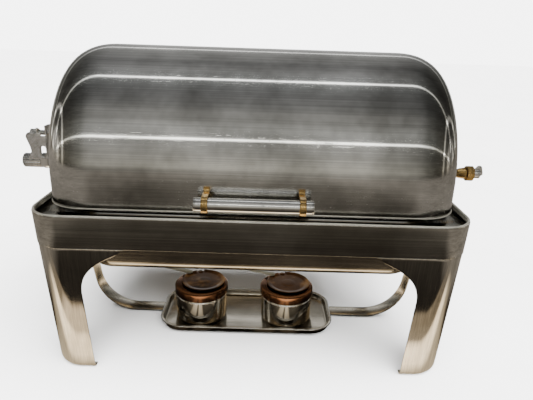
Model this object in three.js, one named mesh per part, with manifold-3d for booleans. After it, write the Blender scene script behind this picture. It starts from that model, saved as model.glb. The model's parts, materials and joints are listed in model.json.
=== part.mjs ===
// Roll-top chafing dish food warmer, full size, all in millimetres.
// X runs along the dish, -Y is the side the guest stands on, +Z is up.
import * as THREE from "three";
import { mergeVertices } from "three/addons/utils/BufferGeometryUtils.js";
import { ConvexGeometry } from "three/addons/geometries/ConvexGeometry.js";
import Module from "manifold-3d";

const wasm = await Module();
wasm.setup();

// ---------------------------------------------------------------- driving dimensions
const GAP = 0.3; // kept between pieces that touch

// Stand: a band on four sheet legs that lean in towards the floor
const FRAME_LENGTH = 640;
const FRAME_DEPTH = 426;
const FRAME_HEIGHT = 260;
const BAND_HEIGHT = 50;
const FRAME_SHEET = 1.5;
const FRAME_CORNER = 48;
const RIM_WIDTH = 5; // the band's top edge, folded inwards
const LEG_LEAN = 11.5; // how far the foot stands in from the band's top edge
const FOOT_WIDTH = 68;
const KNEE_WIDTH = 73;
const KNEE_HEIGHT = 137;
const GUSSET_LENGTH = 140; // along the front, under the band
const FOOT_DEPTH = 62;
const GUSSET_DEPTH = 110; // along the end, under the band
const FOOT_LIP = 12;

// Roll-top cover: half a barrel with rounded ends and a short straight skirt
const COVER_END_GAP = 17; // to the outside of the frame's ends
const COVER_SIDE_GAP = 26; // to the outside of the frame's front and back
const COVER_SHEET = 1.2;
const COVER_END_ROUND = 58;
const COVER_SKIRT = 34;
const COVER_LIFT = 1; // skirt's lower edge above the band's rim
const PIVOT_RISE = 20; // pivot above the band's rim
const OPEN_ANGLE = 80; // how far the cover rolls back, in degrees

// Pans: a gastronorm food pan in a deeper water pan
const PAN_LENGTH = 530;
const PAN_WIDTH = 325;
const PAN_SHEET = 1.2;
const PAN_LIP = 9;
const PAN_CORNER = 45;
const PAN_DRAFT = 5; // how far each wall leans in down to the floor
const FOOD_DEPTH = 65;
const WATER_DEPTH = 96;
const WATER_WALL_GAP = 4; // between the two pans' walls
const WATER_FLOOR_ROUND = 15;
const FOOD_FLOOR_ROUND = 12;
const PAN_FRONT_GAP = 3; // from the pans' lip to the cover's front wall
const PAN_SIDE_GAP = 0.8; // between the water pan and its opening

// Pan carrier: a flat shelf welded in the band, with an ear at each end for the pivot
const SHELF_DROP = 8; // below the band's rim
const SHELF_SHEET = 2;
const SHELF_REACH = 150; // how far back its full width runs from the band's front
const SHELF_BORDER = 8; // left round the opening behind that
const EAR_WIDTH = 30;
const EAR_TOP = 14; // above the pivot
const EAR_GAP = 10; // to the inside of the cover's end

// Pivots
const STUD_RADIUS = 5;
const STUD_STICK_OUT = 3; // past the nut inside each ear
const INNER_NUT_LENGTH = 7;
const INNER_NUT_RADIUS = 9;
const KNOB_STUD_REACH = 78; // the left stud's threaded end, past the frame's end
const BUSH_RADIUS = 8;
const BUSH_FLANGE = 13;
const BRACKET_WIDTH = 36;
const BRACKET_SHEET = 3;
const BRACKET_DROP = 42; // below the band's rim
const BRACKET_CLEAR = 0.8; // from the band's rim to the bracket
const SCREW_RADIUS = 2.2;
const SCREW_HEAD = 4.5;
const SCREW_SPREAD = 20;
const SLEEVE_RADIUS = 7.5;
const SLEEVE_LENGTH = 34;
const NUT_LENGTH = 18;
const NUT_RADIUS = 11;
const COLLAR_LENGTH = 12;
const COLLAR_RADIUS = 13.5;
const WING_LENGTH = 30; // from hub's far side to the blade's tip
const WING_THICK = 4;
const WING_HUB_RADIUS = 8.5;
const WING_HUB_LENGTH = 12;
const WING_BORE = 9;

// Lock bolt beside the left pivot
const BOLT_RISE = 50; // above the pivot
const BOLT_RADIUS = 4.5;
const BOLT_CLEAR = 3; // from its tip to the cover's end when drawn
const BOLT_HOLE_CLEAR = 2.1; // all round it, so that it finds its hole easily
const LOCK_PLATE_THICK = 3;
const LOCK_PLATE_WIDTH = 30;
const LOCK_FLANGE = 34; // how far its front flange stands out
const LOCK_SCREW_X = -12; // in the flange, from the upright plate
const LOCK_SCREW_Z = 57; // above the stud
const LOCK_NUT_RADIUS = 14;
const LOCK_NUT_LENGTH = 14;
const BOLT_KNOB_RADIUS = 9;
const BOLT_KNOB_LENGTH = 14;
const BOLT_SHORTFALL = 6; // from the bolt's outer tip to the lock plate's front edge
const BOLT_TIP = 2; // of the bolt that shows past its knob
const END_KNOB_RADIUS = 12.5;
const END_KNOB_LENGTH = 32;

// Handle
const HANDLE_LENGTH = 160;
const HANDLE_OFFSET = 3; // to the right of the middle
const HANDLE_RADIUS = 10;
const HANDLE_WALL = 1.5;
const HANDLE_STANDOFF = 25; // from the cover's face to the tube's axis
const HANDLE_RISE = 23; // tube's axis above the band's rim
const ARM_WIDTH = 9;
const ARM_SHEET = 2;
const ARM_INSET = 13; // from the tube's end to the arm's middle

// Strap that carries the burner tray
const STRAP_WIDTH = 28;
const STRAP_SHEET = 3;
const STRAP_CENTRE = -26; // behind the pivot line is positive
const STRAP_BEND = 75;
const STRAP_FLOOR = 3.5; // its underside above the floor
const STRAP_LEAN = 27; // how far its sides come in down to the bend
const RIVET_RADIUS = 2.5;

// Burner tray and burners
const TRAY_LENGTH = 310;
const TRAY_DEPTH = 136;
const TRAY_HEIGHT = 12;
const TRAY_SHEET = 1.2;
const TRAY_CORNER = 42;
const TRAY_X = -8;
const TRAY_Y = -44;
const TRAY_LIP = 4;
const BURNER_SPACING = 155;
const BURNER_X = -14; // middle of the two burners
const BURNER_Y = -50;
const CUP_RADIUS = 46;
const CUP_HEIGHT = 62;
const CUP_SHEET = 1.2;
const LID_CLEAR = 0.6;
const LID_SHEET = 1.2;
const LID_SKIRT = 14;
const LID_RING = 17.8; // from the lid's edge in to the flame opening
const SHUTTER_INSET = 8.8; // its edge from the lid's edge
const SHUTTER_X = 3; // its middle from the lid's middle
const SHUTTER_Y = 5;
const SHUTTER_SHEET = 1.5;
const SHUTTER_DISH = 2;
const SHUTTER_PIVOT_OUT = 8; // rivet from the edge of the flame opening
const SHUTTER_PIVOT_ANGLE = 100; // round from +X, in degrees
const LEVER_LENGTH = 74;
const LEVER_WIDTH = 13;
const LEVER_SHEET = 1.5;
const LEVER_ANGLE = 157; // round from +X, in degrees
const LEVER_START_X = -27; // its inner end's middle from the lid's middle
const LEVER_START_Y = 30.5;
const FUEL_CLEAR = 3.8; // inside the cup's wall
const FUEL_RIM = 15; // left round the can's mouth
const FUEL_HEIGHT = 52;

// ---------------------------------------------------------------- derived places
const HALF_LENGTH = FRAME_LENGTH / 2;
const HALF_DEPTH = FRAME_DEPTH / 2;
const BAND_BOTTOM = FRAME_HEIGHT - BAND_HEIGHT;
const PIVOT_Z = FRAME_HEIGHT + PIVOT_RISE;
const COVER_HALF = HALF_LENGTH - COVER_END_GAP;
const COVER_RADIUS = HALF_DEPTH - COVER_SIDE_GAP;
const COVER_BOTTOM = FRAME_HEIGHT + COVER_LIFT;
const COVER_AXIS_Z = COVER_BOTTOM + COVER_SKIRT;
const SHELF_TOP = FRAME_HEIGHT - SHELF_DROP;
const PAN_FRONT = -(COVER_RADIUS - COVER_SHEET - PAN_FRONT_GAP);
const PAN_Y = PAN_FRONT + PAN_WIDTH / 2;
const WATER_LIP_Z = SHELF_TOP + GAP;
const FOOD_LIP_Z = WATER_LIP_Z + PAN_SHEET + GAP;
const EAR_X = COVER_HALF - COVER_SHEET - EAR_GAP;
const BRACKET_X = HALF_LENGTH + BRACKET_CLEAR;
const SLEEVE_X = BRACKET_X + BRACKET_SHEET + GAP;
const NUT_X = SLEEVE_X + SLEEVE_LENGTH + GAP;
const COLLAR_X = NUT_X + NUT_LENGTH + GAP;
const WING_X = COLLAR_X + COLLAR_LENGTH + GAP;
const HANDLE_Y = -(COVER_RADIUS + HANDLE_STANDOFF);
const HANDLE_Z = FRAME_HEIGHT + HANDLE_RISE;
const TRAY_Z = STRAP_FLOOR + STRAP_SHEET + GAP;
const CUP_Z = TRAY_Z + TRAY_SHEET + GAP;
const LID_TOP = CUP_HEIGHT + LID_CLEAR + LID_SHEET;
const LID_RADIUS = CUP_RADIUS + LID_CLEAR + LID_SHEET;
const FLAME_RADIUS = LID_RADIUS - LID_RING;
const SHUTTER_RADIUS = LID_RADIUS - SHUTTER_INSET;
const SHUTTER_PIVOT = FLAME_RADIUS + SHUTTER_PIVOT_OUT;
const FUEL_RADIUS = CUP_RADIUS - CUP_SHEET - FUEL_CLEAR;
const FUEL_MOUTH = FUEL_RADIUS - FUEL_RIM;
const SHUTTER_Z = LID_TOP + GAP;
const SCREW_Z = FRAME_HEIGHT - 22;
const RIVET_Z = BAND_BOTTOM + 12;

// ---------------------------------------------------------------- materials
const finish = (color, roughness, metalness = 1) =>
  new THREE.MeshStandardMaterial({ color, roughness, metalness });
const brushedSteel = finish(0x8f8b83, 0.35);
const polishedSteel = finish(0xb5b2aa, 0.15);
const brass = finish(0xa9843f, 0.3);
const tintedSteel = finish(0x5a3c26, 0.4);
const fuelTin = finish(0x9a9a98, 0.4);
const darkGrip = finish(0x55534f, 0.5);

// ---------------------------------------------------------------- solids
function solid(geometry, matrix = new THREE.Matrix4()) {
  const bare = new THREE.BufferGeometry();
  const source = geometry.index ? geometry.toNonIndexed() : geometry;
  bare.setAttribute("position", source.getAttribute("position").clone());
  const merged = mergeVertices(bare.applyMatrix4(matrix), 1e-3);
  return new wasm.Manifold(new wasm.Mesh({
    numProp: 3,
    vertProperties: merged.attributes.position.array,
    triVerts: new Uint32Array(merged.index.array),
  }));
}

function geometryOf(manifold) {
  const mesh = manifold.getMesh();
  const geometry = new THREE.BufferGeometry();
  geometry.setAttribute("position", new THREE.BufferAttribute(mesh.vertProperties, 3));
  geometry.setIndex(new THREE.BufferAttribute(mesh.triVerts, 1));
  geometry.computeVertexNormals();
  return geometry;
}

const move = (x, y, z) => new THREE.Matrix4().makeTranslation(x, y, z);
const along = {
  x: new THREE.Matrix4().makeRotationY(Math.PI / 2),
  y: new THREE.Matrix4().makeRotationX(-Math.PI / 2),
};
// Stand a flat outline up, facing -Y, or across the dish, facing along X with its first axis along Y.
const standUp = new THREE.Matrix4().makeRotationX(Math.PI / 2);
const standAcross = new THREE.Matrix4().makeRotationZ(Math.PI / 2).multiply(standUp);

// A box from its lowest to its highest corner.
function block(low, high) {
  const size = high.map((value, axis) => value - low[axis]);
  const centre = high.map((value, axis) => (value + low[axis]) / 2);
  return solid(new THREE.BoxGeometry(...size), move(...centre));
}

// A round solid about +Z from [radius, height] points, first and last on the axis or a closed ring.
function turned(points, segments = 24) {
  const profile = points.map(([radius, height]) => new THREE.Vector2(radius, height));
  const stand = new THREE.Matrix4().makeRotationX(Math.PI / 2);
  return solid(new THREE.LatheGeometry(profile, segments), stand);
}
const closed = (points) => [...points, points[0]];
const rod = (radius, from, to, segments = 20) =>
  turned([[0, from], [radius, from], [radius, to], [0, to]], segments);
const tube = (outer, inner, from, to, segments = 24) =>
  turned(closed([[inner, from], [outer, from], [outer, to], [inner, to]]), segments);
const placed = (shape, matrix) => solid(geometryOf(shape), matrix);
const alongX = (shape, x, y, z) => placed(shape, move(x, y, z).multiply(along.x));

// The corners of a rounded rectangle, anticlockwise.
function roundedOutline(halfX, halfY, radius, steps = 6) {
  const corners = [[1, 1, 0], [-1, 1, 1], [-1, -1, 2], [1, -1, 3]];
  return corners.flatMap(([signX, signY, quarter]) =>
    Array.from({ length: steps + 1 }, (_, i) => {
      const angle = (quarter + i / steps) * (Math.PI / 2);
      const x = signX * (halfX - radius) + radius * Math.cos(angle);
      return [x, signY * (halfY - radius) + radius * Math.sin(angle)];
    }));
}

// The convex solid through rounded rectangles: [halfX, halfY, cornerRadius, z, middleY].
function loft(levels, steps = 6) {
  const points = levels.flatMap(([halfX, halfY, radius, z, middleY = 0]) =>
    roundedOutline(halfX, halfY, radius, steps).map(([x, y]) => new THREE.Vector3(x, y + middleY, z)));
  return solid(new ConvexGeometry(points));
}

function plate(outline, thickness, matrix = new THREE.Matrix4(), curveSegments = 8) {
  const settings = { depth: thickness, bevelEnabled: false, curveSegments };
  const geometry = new THREE.ExtrudeGeometry(outline, settings);
  return solid(geometry, matrix);
}

// ---------------------------------------------------------------- stand
const leanAt = (z) => LEG_LEAN * (1 - z / FRAME_HEIGHT);
const frameLevel = (z, inset = 0) => [
  HALF_LENGTH - leanAt(z) - inset, HALF_DEPTH - leanAt(z) - inset, Math.max(FRAME_CORNER - inset, 2), z,
];
const frameSolid = (bottom, top, inset = 0) => loft([frameLevel(bottom, inset), frameLevel(top, inset)]);

// Screws and rivets that pass through the band's ends, as [x sign, y, z, radius].
const bandFasteners = [-1, 1].flatMap((side) => [
  ...[-1, 1].map((end) => [side, (end * SCREW_SPREAD) / 2, SCREW_Z, SCREW_RADIUS]),
  ...[-1, 1].map((end) => [side, STRAP_CENTRE + (end * STRAP_WIDTH) / 4, RIVET_Z, RIVET_RADIUS]),
]);

function frameBand() {
  let band = frameSolid(BAND_BOTTOM, FRAME_HEIGHT)
    .subtract(frameSolid(BAND_BOTTOM - 1, FRAME_HEIGHT - FRAME_SHEET, FRAME_SHEET))
    .subtract(frameSolid(FRAME_HEIGHT - 2 * FRAME_SHEET, FRAME_HEIGHT + 1, RIM_WIDTH));
  for (const [side, y, z, radius] of bandFasteners) {
    const hole = rod(radius + GAP, -8, 8, 12);
    band = band.subtract(alongX(hole, side * HALF_LENGTH, y, z));
  }
  return band;
}

// The opening between two legs, as an outline in the plane of the wall: straight up the legs' inner
// edges, then sweeping out under the band to the gussets' tips.
function legWindow(halfSpan, footWidth, kneeWidth, gussetLength) {
  const foot = halfSpan - LEG_LEAN - footWidth;
  const knee = halfSpan - kneeWidth;
  const tip = halfSpan - gussetLength;
  const top = BAND_BOTTOM - 4;
  const rise = (top - KNEE_HEIGHT) * 0.55;
  const bend = tip + (knee - tip) * 0.57;
  const drop = 16; // of the curve's last control point below the tip
  const outline = new THREE.Shape();
  outline.moveTo(-foot, -5);
  outline.lineTo(foot, -5);
  outline.lineTo(knee, KNEE_HEIGHT);
  outline.bezierCurveTo(knee, KNEE_HEIGHT + rise, bend, top - drop, tip, top);
  outline.lineTo(-tip, top);
  outline.bezierCurveTo(-bend, top - drop, -knee, KNEE_HEIGHT + rise, -knee, KNEE_HEIGHT);
  return outline;
}

function legs() {
  const shell = frameSolid(0, BAND_BOTTOM - GAP)
    .subtract(frameSolid(FRAME_SHEET, BAND_BOTTOM, FRAME_SHEET))
    .subtract(frameSolid(-1, FRAME_SHEET + 1, FOOT_LIP));
  const front = legWindow(HALF_LENGTH, FOOT_WIDTH, KNEE_WIDTH, GUSSET_LENGTH);
  const end = legWindow(HALF_DEPTH, FOOT_DEPTH, FOOT_DEPTH + 5, GUSSET_DEPTH);
  const spanY = FRAME_DEPTH + 40;
  const spanX = FRAME_LENGTH + 40;
  const sheet = shell
    .subtract(plate(front, spanY, move(0, spanY / 2, 0).multiply(standUp)))
    .subtract(plate(end, spanX, move(-spanX / 2, 0, 0).multiply(standAcross)));
  // The thin strip left above the openings belongs to the band, so each leg stops at its gussets' tips.
  const reachX = HALF_LENGTH - GUSSET_LENGTH + 6;
  const reachY = HALF_DEPTH - GUSSET_DEPTH + 6;
  const made = {};
  for (const [sideName, signX] of [["left", -1], ["right", 1]])
    for (const [endName, signY] of [["front", -1], ["rear", 1]]) {
      const corner = (near, far, sign) => (sign < 0 ? [-far, -near] : [near, far]);
      const [lowX, highX] = corner(reachX, HALF_LENGTH + 5, signX);
      const [lowY, highY] = corner(reachY, HALF_DEPTH + 5, signY);
      made[`leg_${endName}_${sideName}`] = sheet.intersect(
        block([lowX, lowY, -1], [highX, highY, FRAME_HEIGHT]));
    }
  return made;
}

// ---------------------------------------------------------------- strap, rivets and screws
function strap() {
  const top = BAND_BOTTOM + 24;
  const topX = HALF_LENGTH - leanAt(top) - FRAME_SHEET - GAP - 1.2;
  const middleZ = STRAP_FLOOR + STRAP_BEND;
  const bendX = topX - STRAP_LEAN - STRAP_BEND;
  const outline = new THREE.Shape();
  const tangent = Math.atan2(STRAP_LEAN, top - middleZ);
  outline.moveTo(-topX, top);
  outline.absarc(-bendX, middleZ, STRAP_BEND, Math.PI + tangent / 2, 1.5 * Math.PI, false);
  outline.absarc(bendX, middleZ, STRAP_BEND, 1.5 * Math.PI, 2 * Math.PI - tangent / 2, false);
  outline.lineTo(topX, top);
  outline.lineTo(topX - STRAP_SHEET, top);
  const inner = STRAP_BEND - STRAP_SHEET;
  outline.absarc(bendX, middleZ, inner, 2 * Math.PI - tangent / 2, 1.5 * Math.PI, true);
  outline.absarc(-bendX, middleZ, inner, 1.5 * Math.PI, Math.PI + tangent / 2, true);
  outline.lineTo(-topX + STRAP_SHEET, top);
  let shape = plate(outline, STRAP_WIDTH, move(0, STRAP_CENTRE + STRAP_WIDTH / 2, 0).multiply(standUp), 10);
  for (const [side, y, z, radius] of bandFasteners)
    if (radius === RIVET_RADIUS)
      shape = shape.subtract(alongX(rod(radius + GAP, -12, 12, 12), side * (topX - 2), y, z));
  return shape;
}

// A rivet with a domed head outside the band and a smaller one behind the strap, about +Z.
function strapRivet() {
  const inside = -(FRAME_SHEET + STRAP_SHEET + 7);
  return turned([
    [0, inside - 1.5], [RIVET_RADIUS + 1, inside - 1.5], [RIVET_RADIUS + 1, inside],
    [RIVET_RADIUS, inside], [RIVET_RADIUS, 0.6], [RIVET_RADIUS + 2, 0.6], [RIVET_RADIUS + 1.2, 2], [0, 2.4],
  ], 12);
}

// A pan-head screw about +Z, with its head's seat at 0.
function screw(length) {
  const slot = block([-SCREW_HEAD - 1, -0.5, 1.8], [SCREW_HEAD + 1, 0.5, 4]);
  return turned([
    [0, -length], [SCREW_RADIUS, -length], [SCREW_RADIUS, GAP], [SCREW_HEAD, GAP],
    [SCREW_HEAD, 1.8], [SCREW_HEAD - 1.4, 3], [0, 3],
  ], 14).subtract(slot);
}

// ---------------------------------------------------------------- pan carrier and pans
function panCarrier() {
  const bottom = SHELF_TOP - SHELF_SHEET;
  const wide = frameSolid(bottom, SHELF_TOP, FRAME_SHEET + GAP).intersect(
    block([-HALF_LENGTH, -HALF_DEPTH, bottom - 1], [HALF_LENGTH, -HALF_DEPTH + SHELF_REACH, SHELF_TOP + 1]));
  const back = waterOpening().back + SHELF_BORDER;
  const narrow = block([-EAR_X, -HALF_DEPTH + SHELF_REACH - 1, bottom], [EAR_X, back, SHELF_TOP]);
  let carrier = wide.add(narrow);
  const { halfX, halfY, middleY } = waterOpening();
  carrier = carrier.subtract(loft([
    [halfX, halfY, PAN_CORNER - PAN_LIP, bottom - 1, middleY],
    [halfX, halfY, PAN_CORNER - PAN_LIP, SHELF_TOP + 1, middleY],
  ]));
  for (const side of [-1, 1]) {
    const outline = new THREE.Shape();
    outline.moveTo(-EAR_WIDTH / 2, bottom);
    outline.lineTo(EAR_WIDTH / 2, bottom);
    outline.lineTo(EAR_WIDTH / 2, PIVOT_Z);
    outline.absarc(0, PIVOT_Z, EAR_WIDTH / 2, 0, Math.PI, false);
    const low = side > 0 ? EAR_X - SHELF_SHEET : -EAR_X;
    const ear = plate(outline, SHELF_SHEET, move(low, 0, 0).multiply(standAcross))
      .subtract(alongX(rod(STUD_RADIUS + GAP, -20, 20), side * EAR_X, 0, PIVOT_Z));
    carrier = carrier.add(ear);
  }
  return carrier;
}

function waterOpening() {
  const halfX = PAN_LENGTH / 2 - PAN_LIP + PAN_SIDE_GAP;
  const halfY = PAN_WIDTH / 2 - PAN_LIP + PAN_SIDE_GAP;
  return { halfX, halfY, middleY: PAN_Y, back: PAN_Y + halfY };
}

// An open pan with a flat lip: walls lean in by PAN_DRAFT and meet the floor in a rounded edge.
function pan(lipZ, depth, bodyInset, floorRound) {
  const halfX = PAN_LENGTH / 2;
  const halfY = PAN_WIDTH / 2;
  const shell = (inset, floorZ, topZ, round) => {
    const levels = [];
    const steps = 4;
    for (let i = 0; i <= steps; i++) {
      const angle = (i / steps) * (Math.PI / 2);
      const side = bodyInset + inset + PAN_DRAFT + round * (1 - Math.sin(angle));
      const corner = Math.max(PAN_CORNER - bodyInset - round * (1 - Math.sin(angle)), 6);
      levels.push([halfX - side, halfY - side, corner, floorZ + round * (1 - Math.cos(angle)), PAN_Y]);
    }
    const side = bodyInset + inset;
    levels.push([halfX - side, halfY - side, Math.max(PAN_CORNER - bodyInset, 6), topZ, PAN_Y]);
    return loft(levels, 5);
  };
  const lip = loft([
    [halfX, halfY, PAN_CORNER, lipZ, PAN_Y],
    [halfX, halfY, PAN_CORNER, lipZ + PAN_SHEET, PAN_Y],
  ]);
  const outer = shell(0, lipZ - depth, lipZ + PAN_SHEET, floorRound);
  const inner = shell(PAN_SHEET, lipZ - depth + PAN_SHEET, lipZ + PAN_SHEET + 1, floorRound - PAN_SHEET);
  return lip.add(outer).subtract(inner);
}

// ---------------------------------------------------------------- cover
function coverSolid(inset) {
  const points = [];
  const round = COVER_END_ROUND - inset;
  const section = Array.from({ length: 7 }, (_, i) => {
    const angle = (i / 6) * (Math.PI / 2);
    const x = COVER_HALF - COVER_END_ROUND + round * Math.sin(angle);
    return [x, COVER_RADIUS - COVER_END_ROUND + round * Math.cos(angle)];
  });
  const arcSteps = 28;
  for (const [x, radius] of section)
    for (const side of [-1, 1]) {
      for (let i = 0; i <= arcSteps; i++) {
        const turn = (i / arcSteps) * Math.PI;
        const z = COVER_AXIS_Z + radius * Math.sin(turn);
        points.push(new THREE.Vector3(side * x, -radius * Math.cos(turn), z));
      }
      for (const y of [-radius, radius])
        points.push(new THREE.Vector3(side * x, y, COVER_BOTTOM - (inset > 0 ? 1 : 0)));
    }
  return solid(new ConvexGeometry(points));
}

function coverShell() {
  let cover = coverSolid(0).subtract(coverSolid(COVER_SHEET));
  for (const side of [-1, 1])
    cover = cover.subtract(alongX(rod(BUSH_RADIUS + GAP, -8, 8), side * COVER_HALF, 0, PIVOT_Z));
  // Two holes in the left end take the lock bolt, one with the cover shut and one with it rolled back.
  for (const open of [0, OPEN_ANGLE]) {
    const turn = THREE.MathUtils.degToRad(open);
    const y = -BOLT_RISE * Math.sin(turn);
    const z = PIVOT_Z + BOLT_RISE * Math.cos(turn);
    cover = cover.subtract(alongX(rod(BOLT_RADIUS + BOLT_HOLE_CLEAR, -8, 8, 16), -COVER_HALF, y, z));
  }
  return cover;
}

// A flanged bush about +Z whose groove holds the cover's end sheet, with the sheet's outside at 0.
function coverBush() {
  const bore = STUD_RADIUS + GAP;
  return turned(closed([
    [bore, -COVER_SHEET - 3], [BUSH_FLANGE - 2, -COVER_SHEET - 3], [BUSH_FLANGE - 2, -COVER_SHEET - GAP],
    [BUSH_RADIUS, -COVER_SHEET - GAP], [BUSH_RADIUS, GAP],
    [BUSH_FLANGE, GAP], [BUSH_FLANGE, 2.5], [bore, 2.5],
  ]), 20);
}

// ---------------------------------------------------------------- handle
const handleTube = () =>
  tube(HANDLE_RADIUS, HANDLE_RADIUS - HANDLE_WALL, -HANDLE_LENGTH / 2, HANDLE_LENGTH / 2, 28);

// A push-in cap about +Z, its rim's seat at 0.
function handleCap() {
  const plug = HANDLE_RADIUS - HANDLE_WALL - GAP;
  return turned([
    [0, -9], [plug, -9], [plug, GAP], [HANDLE_RADIUS, GAP], [HANDLE_RADIUS, 1.6],
    [HANDLE_RADIUS - 1.6, 2.8], [0, 2.8],
  ], 20);
}

// A strip bent round the tube with a tail that turns up against the cover, in the YZ plane.
function handleArm() {
  const inner = HANDLE_RADIUS + GAP;
  const outer = inner + ARM_SHEET;
  const footY = HANDLE_STANDOFF - GAP - 0.5;
  const footTop = 24;
  const ring = new THREE.Shape();
  ring.absarc(0, 0, outer, 0, 2 * Math.PI, false);
  const bore = new THREE.Path();
  bore.absarc(0, 0, inner, 0, 2 * Math.PI, true);
  ring.holes.push(bore);
  const tail = new THREE.Shape();
  tail.moveTo(0, outer - ARM_SHEET);
  tail.lineTo(footY - ARM_SHEET, outer - ARM_SHEET);
  tail.lineTo(footY - ARM_SHEET, footTop);
  tail.lineTo(footY, footTop);
  tail.lineTo(footY, outer - 2 * ARM_SHEET - 2);
  tail.lineTo(footY - ARM_SHEET, outer - 2 * ARM_SHEET);
  tail.lineTo(4, outer - 2 * ARM_SHEET);
  const centred = move(-ARM_WIDTH / 2, 0, 0).multiply(standAcross);
  const holePlace = move(0, footY, (footTop + outer) / 2).multiply(along.y);
  const hole = placed(rod(SCREW_RADIUS + GAP, -10, 10, 14), holePlace);
  return plate(ring, ARM_WIDTH, centred, 12)
    .add(plate(tail, ARM_WIDTH, centred))
    .subtract(rodThroughTube())
    .subtract(hole);
}
const rodThroughTube = () => placed(rod(HANDLE_RADIUS + GAP, -ARM_WIDTH, ARM_WIDTH, 24), along.x);

// ---------------------------------------------------------------- pivot hardware
// A stepped stud about +Z, from inside the carrier's ear to its threaded outer end.

const hexNut = (radius, length, bore) => rod(radius, 0, length, 6).subtract(rod(bore, -1, length + 1, 16));

function flutedNut(radius, length, bore) {
  let nut = tube(radius, bore, 0, length, 20);
  const flutes = 10;
  for (let i = 0; i < flutes; i++) {
    const angle = (i / flutes) * 2 * Math.PI;
    const cutter = rod(1.2, -1, length + 1, 6);
    const out = radius + 0.4;
    nut = nut.subtract(placed(cutter, move(out * Math.cos(angle), out * Math.sin(angle), 0)));
  }
  return nut;
}

// The wing lever about +Z: a hub with a flat wing that leans off to one side.
function wingLever() {
  const hub = rod(WING_HUB_RADIUS, 0, WING_HUB_LENGTH, 20);
  const tip = WING_LENGTH - WING_HUB_RADIUS - 5;
  const wing = new THREE.Shape();
  wing.moveTo(4, 2);
  wing.lineTo(-tip, 9);
  wing.absarc(-tip, 14, 5, 1.5 * Math.PI, 0.5 * Math.PI, true);
  wing.lineTo(4, WING_HUB_LENGTH);
  const blade = plate(wing, WING_THICK, move(0, WING_THICK / 2, 0).multiply(standUp));
  return hub.add(blade).subtract(rod(STUD_RADIUS + GAP, -1, WING_BORE, 20));
}

function endBracket() {
  const low = -BRACKET_DROP;
  const top = PIVOT_RISE;
  const half = BRACKET_WIDTH / 2;
  const outline = new THREE.Shape();
  outline.moveTo(-half, low);
  outline.lineTo(half, low);
  outline.lineTo(half, 0);
  outline.absarc(0, top, half * 0.86, 0, Math.PI, false);
  outline.lineTo(-half, 0);
  let shape = plate(outline, BRACKET_SHEET, standAcross)
    .subtract(alongX(rod(STUD_RADIUS + GAP, -5, 8), 0, 0, top));
  for (const end of [-1, 1]) {
    const hole = rod(SCREW_RADIUS + GAP, -5, 8, 14);
    shape = shape.subtract(alongX(hole, 0, (end * SCREW_SPREAD) / 2, SCREW_Z - FRAME_HEIGHT));
  }
  return shape;
}

// The lock bolt's bracket: an upright plate on the left stud, with a flange along its front edge that
// stands out from the dish and has a slot in it. The plate's outer face is at X 0, the stud at Z 0.
function lockBracket() {
  const half = LOCK_PLATE_WIDTH / 2;
  const outline = new THREE.Shape();
  outline.moveTo(-half, -half);
  outline.lineTo(half, -half);
  outline.lineTo(half, BOLT_RISE);
  outline.absarc(0, BOLT_RISE, half, 0, 0.5 * Math.PI, false);
  outline.lineTo(-half, BOLT_RISE + half);
  const upright = plate(outline, LOCK_PLATE_THICK, standAcross);
  const front = new THREE.Shape();
  front.moveTo(0, BOLT_RISE + half);
  front.lineTo(-LOCK_FLANGE * 0.6, BOLT_RISE + half);
  front.lineTo(-LOCK_FLANGE, BOLT_RISE);
  front.lineTo(-LOCK_FLANGE, LOCK_NUT_RADIUS + 2);
  front.lineTo(0, LOCK_NUT_RADIUS + 2);
  front.holes.push(slotPath(-LOCK_FLANGE * 0.32, LOCK_NUT_RADIUS + 16, 4.5, 9));
  const flange = plate(front, LOCK_PLATE_THICK, move(0, -half + LOCK_PLATE_THICK, 0).multiply(standUp));
  const screwPlace = move(LOCK_SCREW_X, -half, LOCK_SCREW_Z).multiply(along.y);
  return upright.add(flange)
    .subtract(alongX(rod(STUD_RADIUS + GAP, -5, 10, 16), 0, 0, 0))
    .subtract(alongX(rod(BOLT_RADIUS + GAP, -5, 10, 16), 0, 0, BOLT_RISE))
    .subtract(placed(rod(SCREW_RADIUS + GAP, -9, 9, 12), screwPlace));
}

// An upright slot with round ends, as a hole in a flat outline.
function slotPath(x, z, radius, length) {
  const slot = new THREE.Path();
  slot.absarc(x, z + length / 2, radius, 0, Math.PI, false);
  slot.absarc(x, z - length / 2, radius, Math.PI, 2 * Math.PI, false);
  return slot;
}

// ---------------------------------------------------------------- burners
function tray() {
  const halfX = TRAY_LENGTH / 2;
  const halfY = TRAY_DEPTH / 2;
  const wallX = halfX - TRAY_LIP;
  const wallY = halfY - TRAY_LIP;
  const lip = loft([
    [halfX, halfY, TRAY_CORNER, TRAY_HEIGHT - TRAY_SHEET],
    [halfX, halfY, TRAY_CORNER, TRAY_HEIGHT],
  ], 6);
  const body = loft([
    [wallX - 3, wallY - 3, TRAY_CORNER - 7, 0],
    [wallX, wallY, TRAY_CORNER - 4, 4],
    [wallX, wallY, TRAY_CORNER - 4, TRAY_HEIGHT],
  ], 6);
  const inset = TRAY_SHEET;
  const hollow = loft([
    [wallX - 3 - inset, wallY - 3 - inset, TRAY_CORNER - 8, inset],
    [wallX - inset, wallY - inset, TRAY_CORNER - 5, 4],
    [wallX - inset, wallY - inset, TRAY_CORNER - 5, TRAY_HEIGHT + 1],
  ], 6);
  return lip.add(body).subtract(hollow);
}

const burnerCup = () => turned([
  [0, 0], [CUP_RADIUS - 3, 0], [CUP_RADIUS, 3], [CUP_RADIUS, CUP_HEIGHT],
  [CUP_RADIUS - CUP_SHEET, CUP_HEIGHT],
  [CUP_RADIUS - CUP_SHEET, 3.5], [CUP_RADIUS - 3.5, CUP_SHEET], [0, CUP_SHEET],
], 28);

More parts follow.
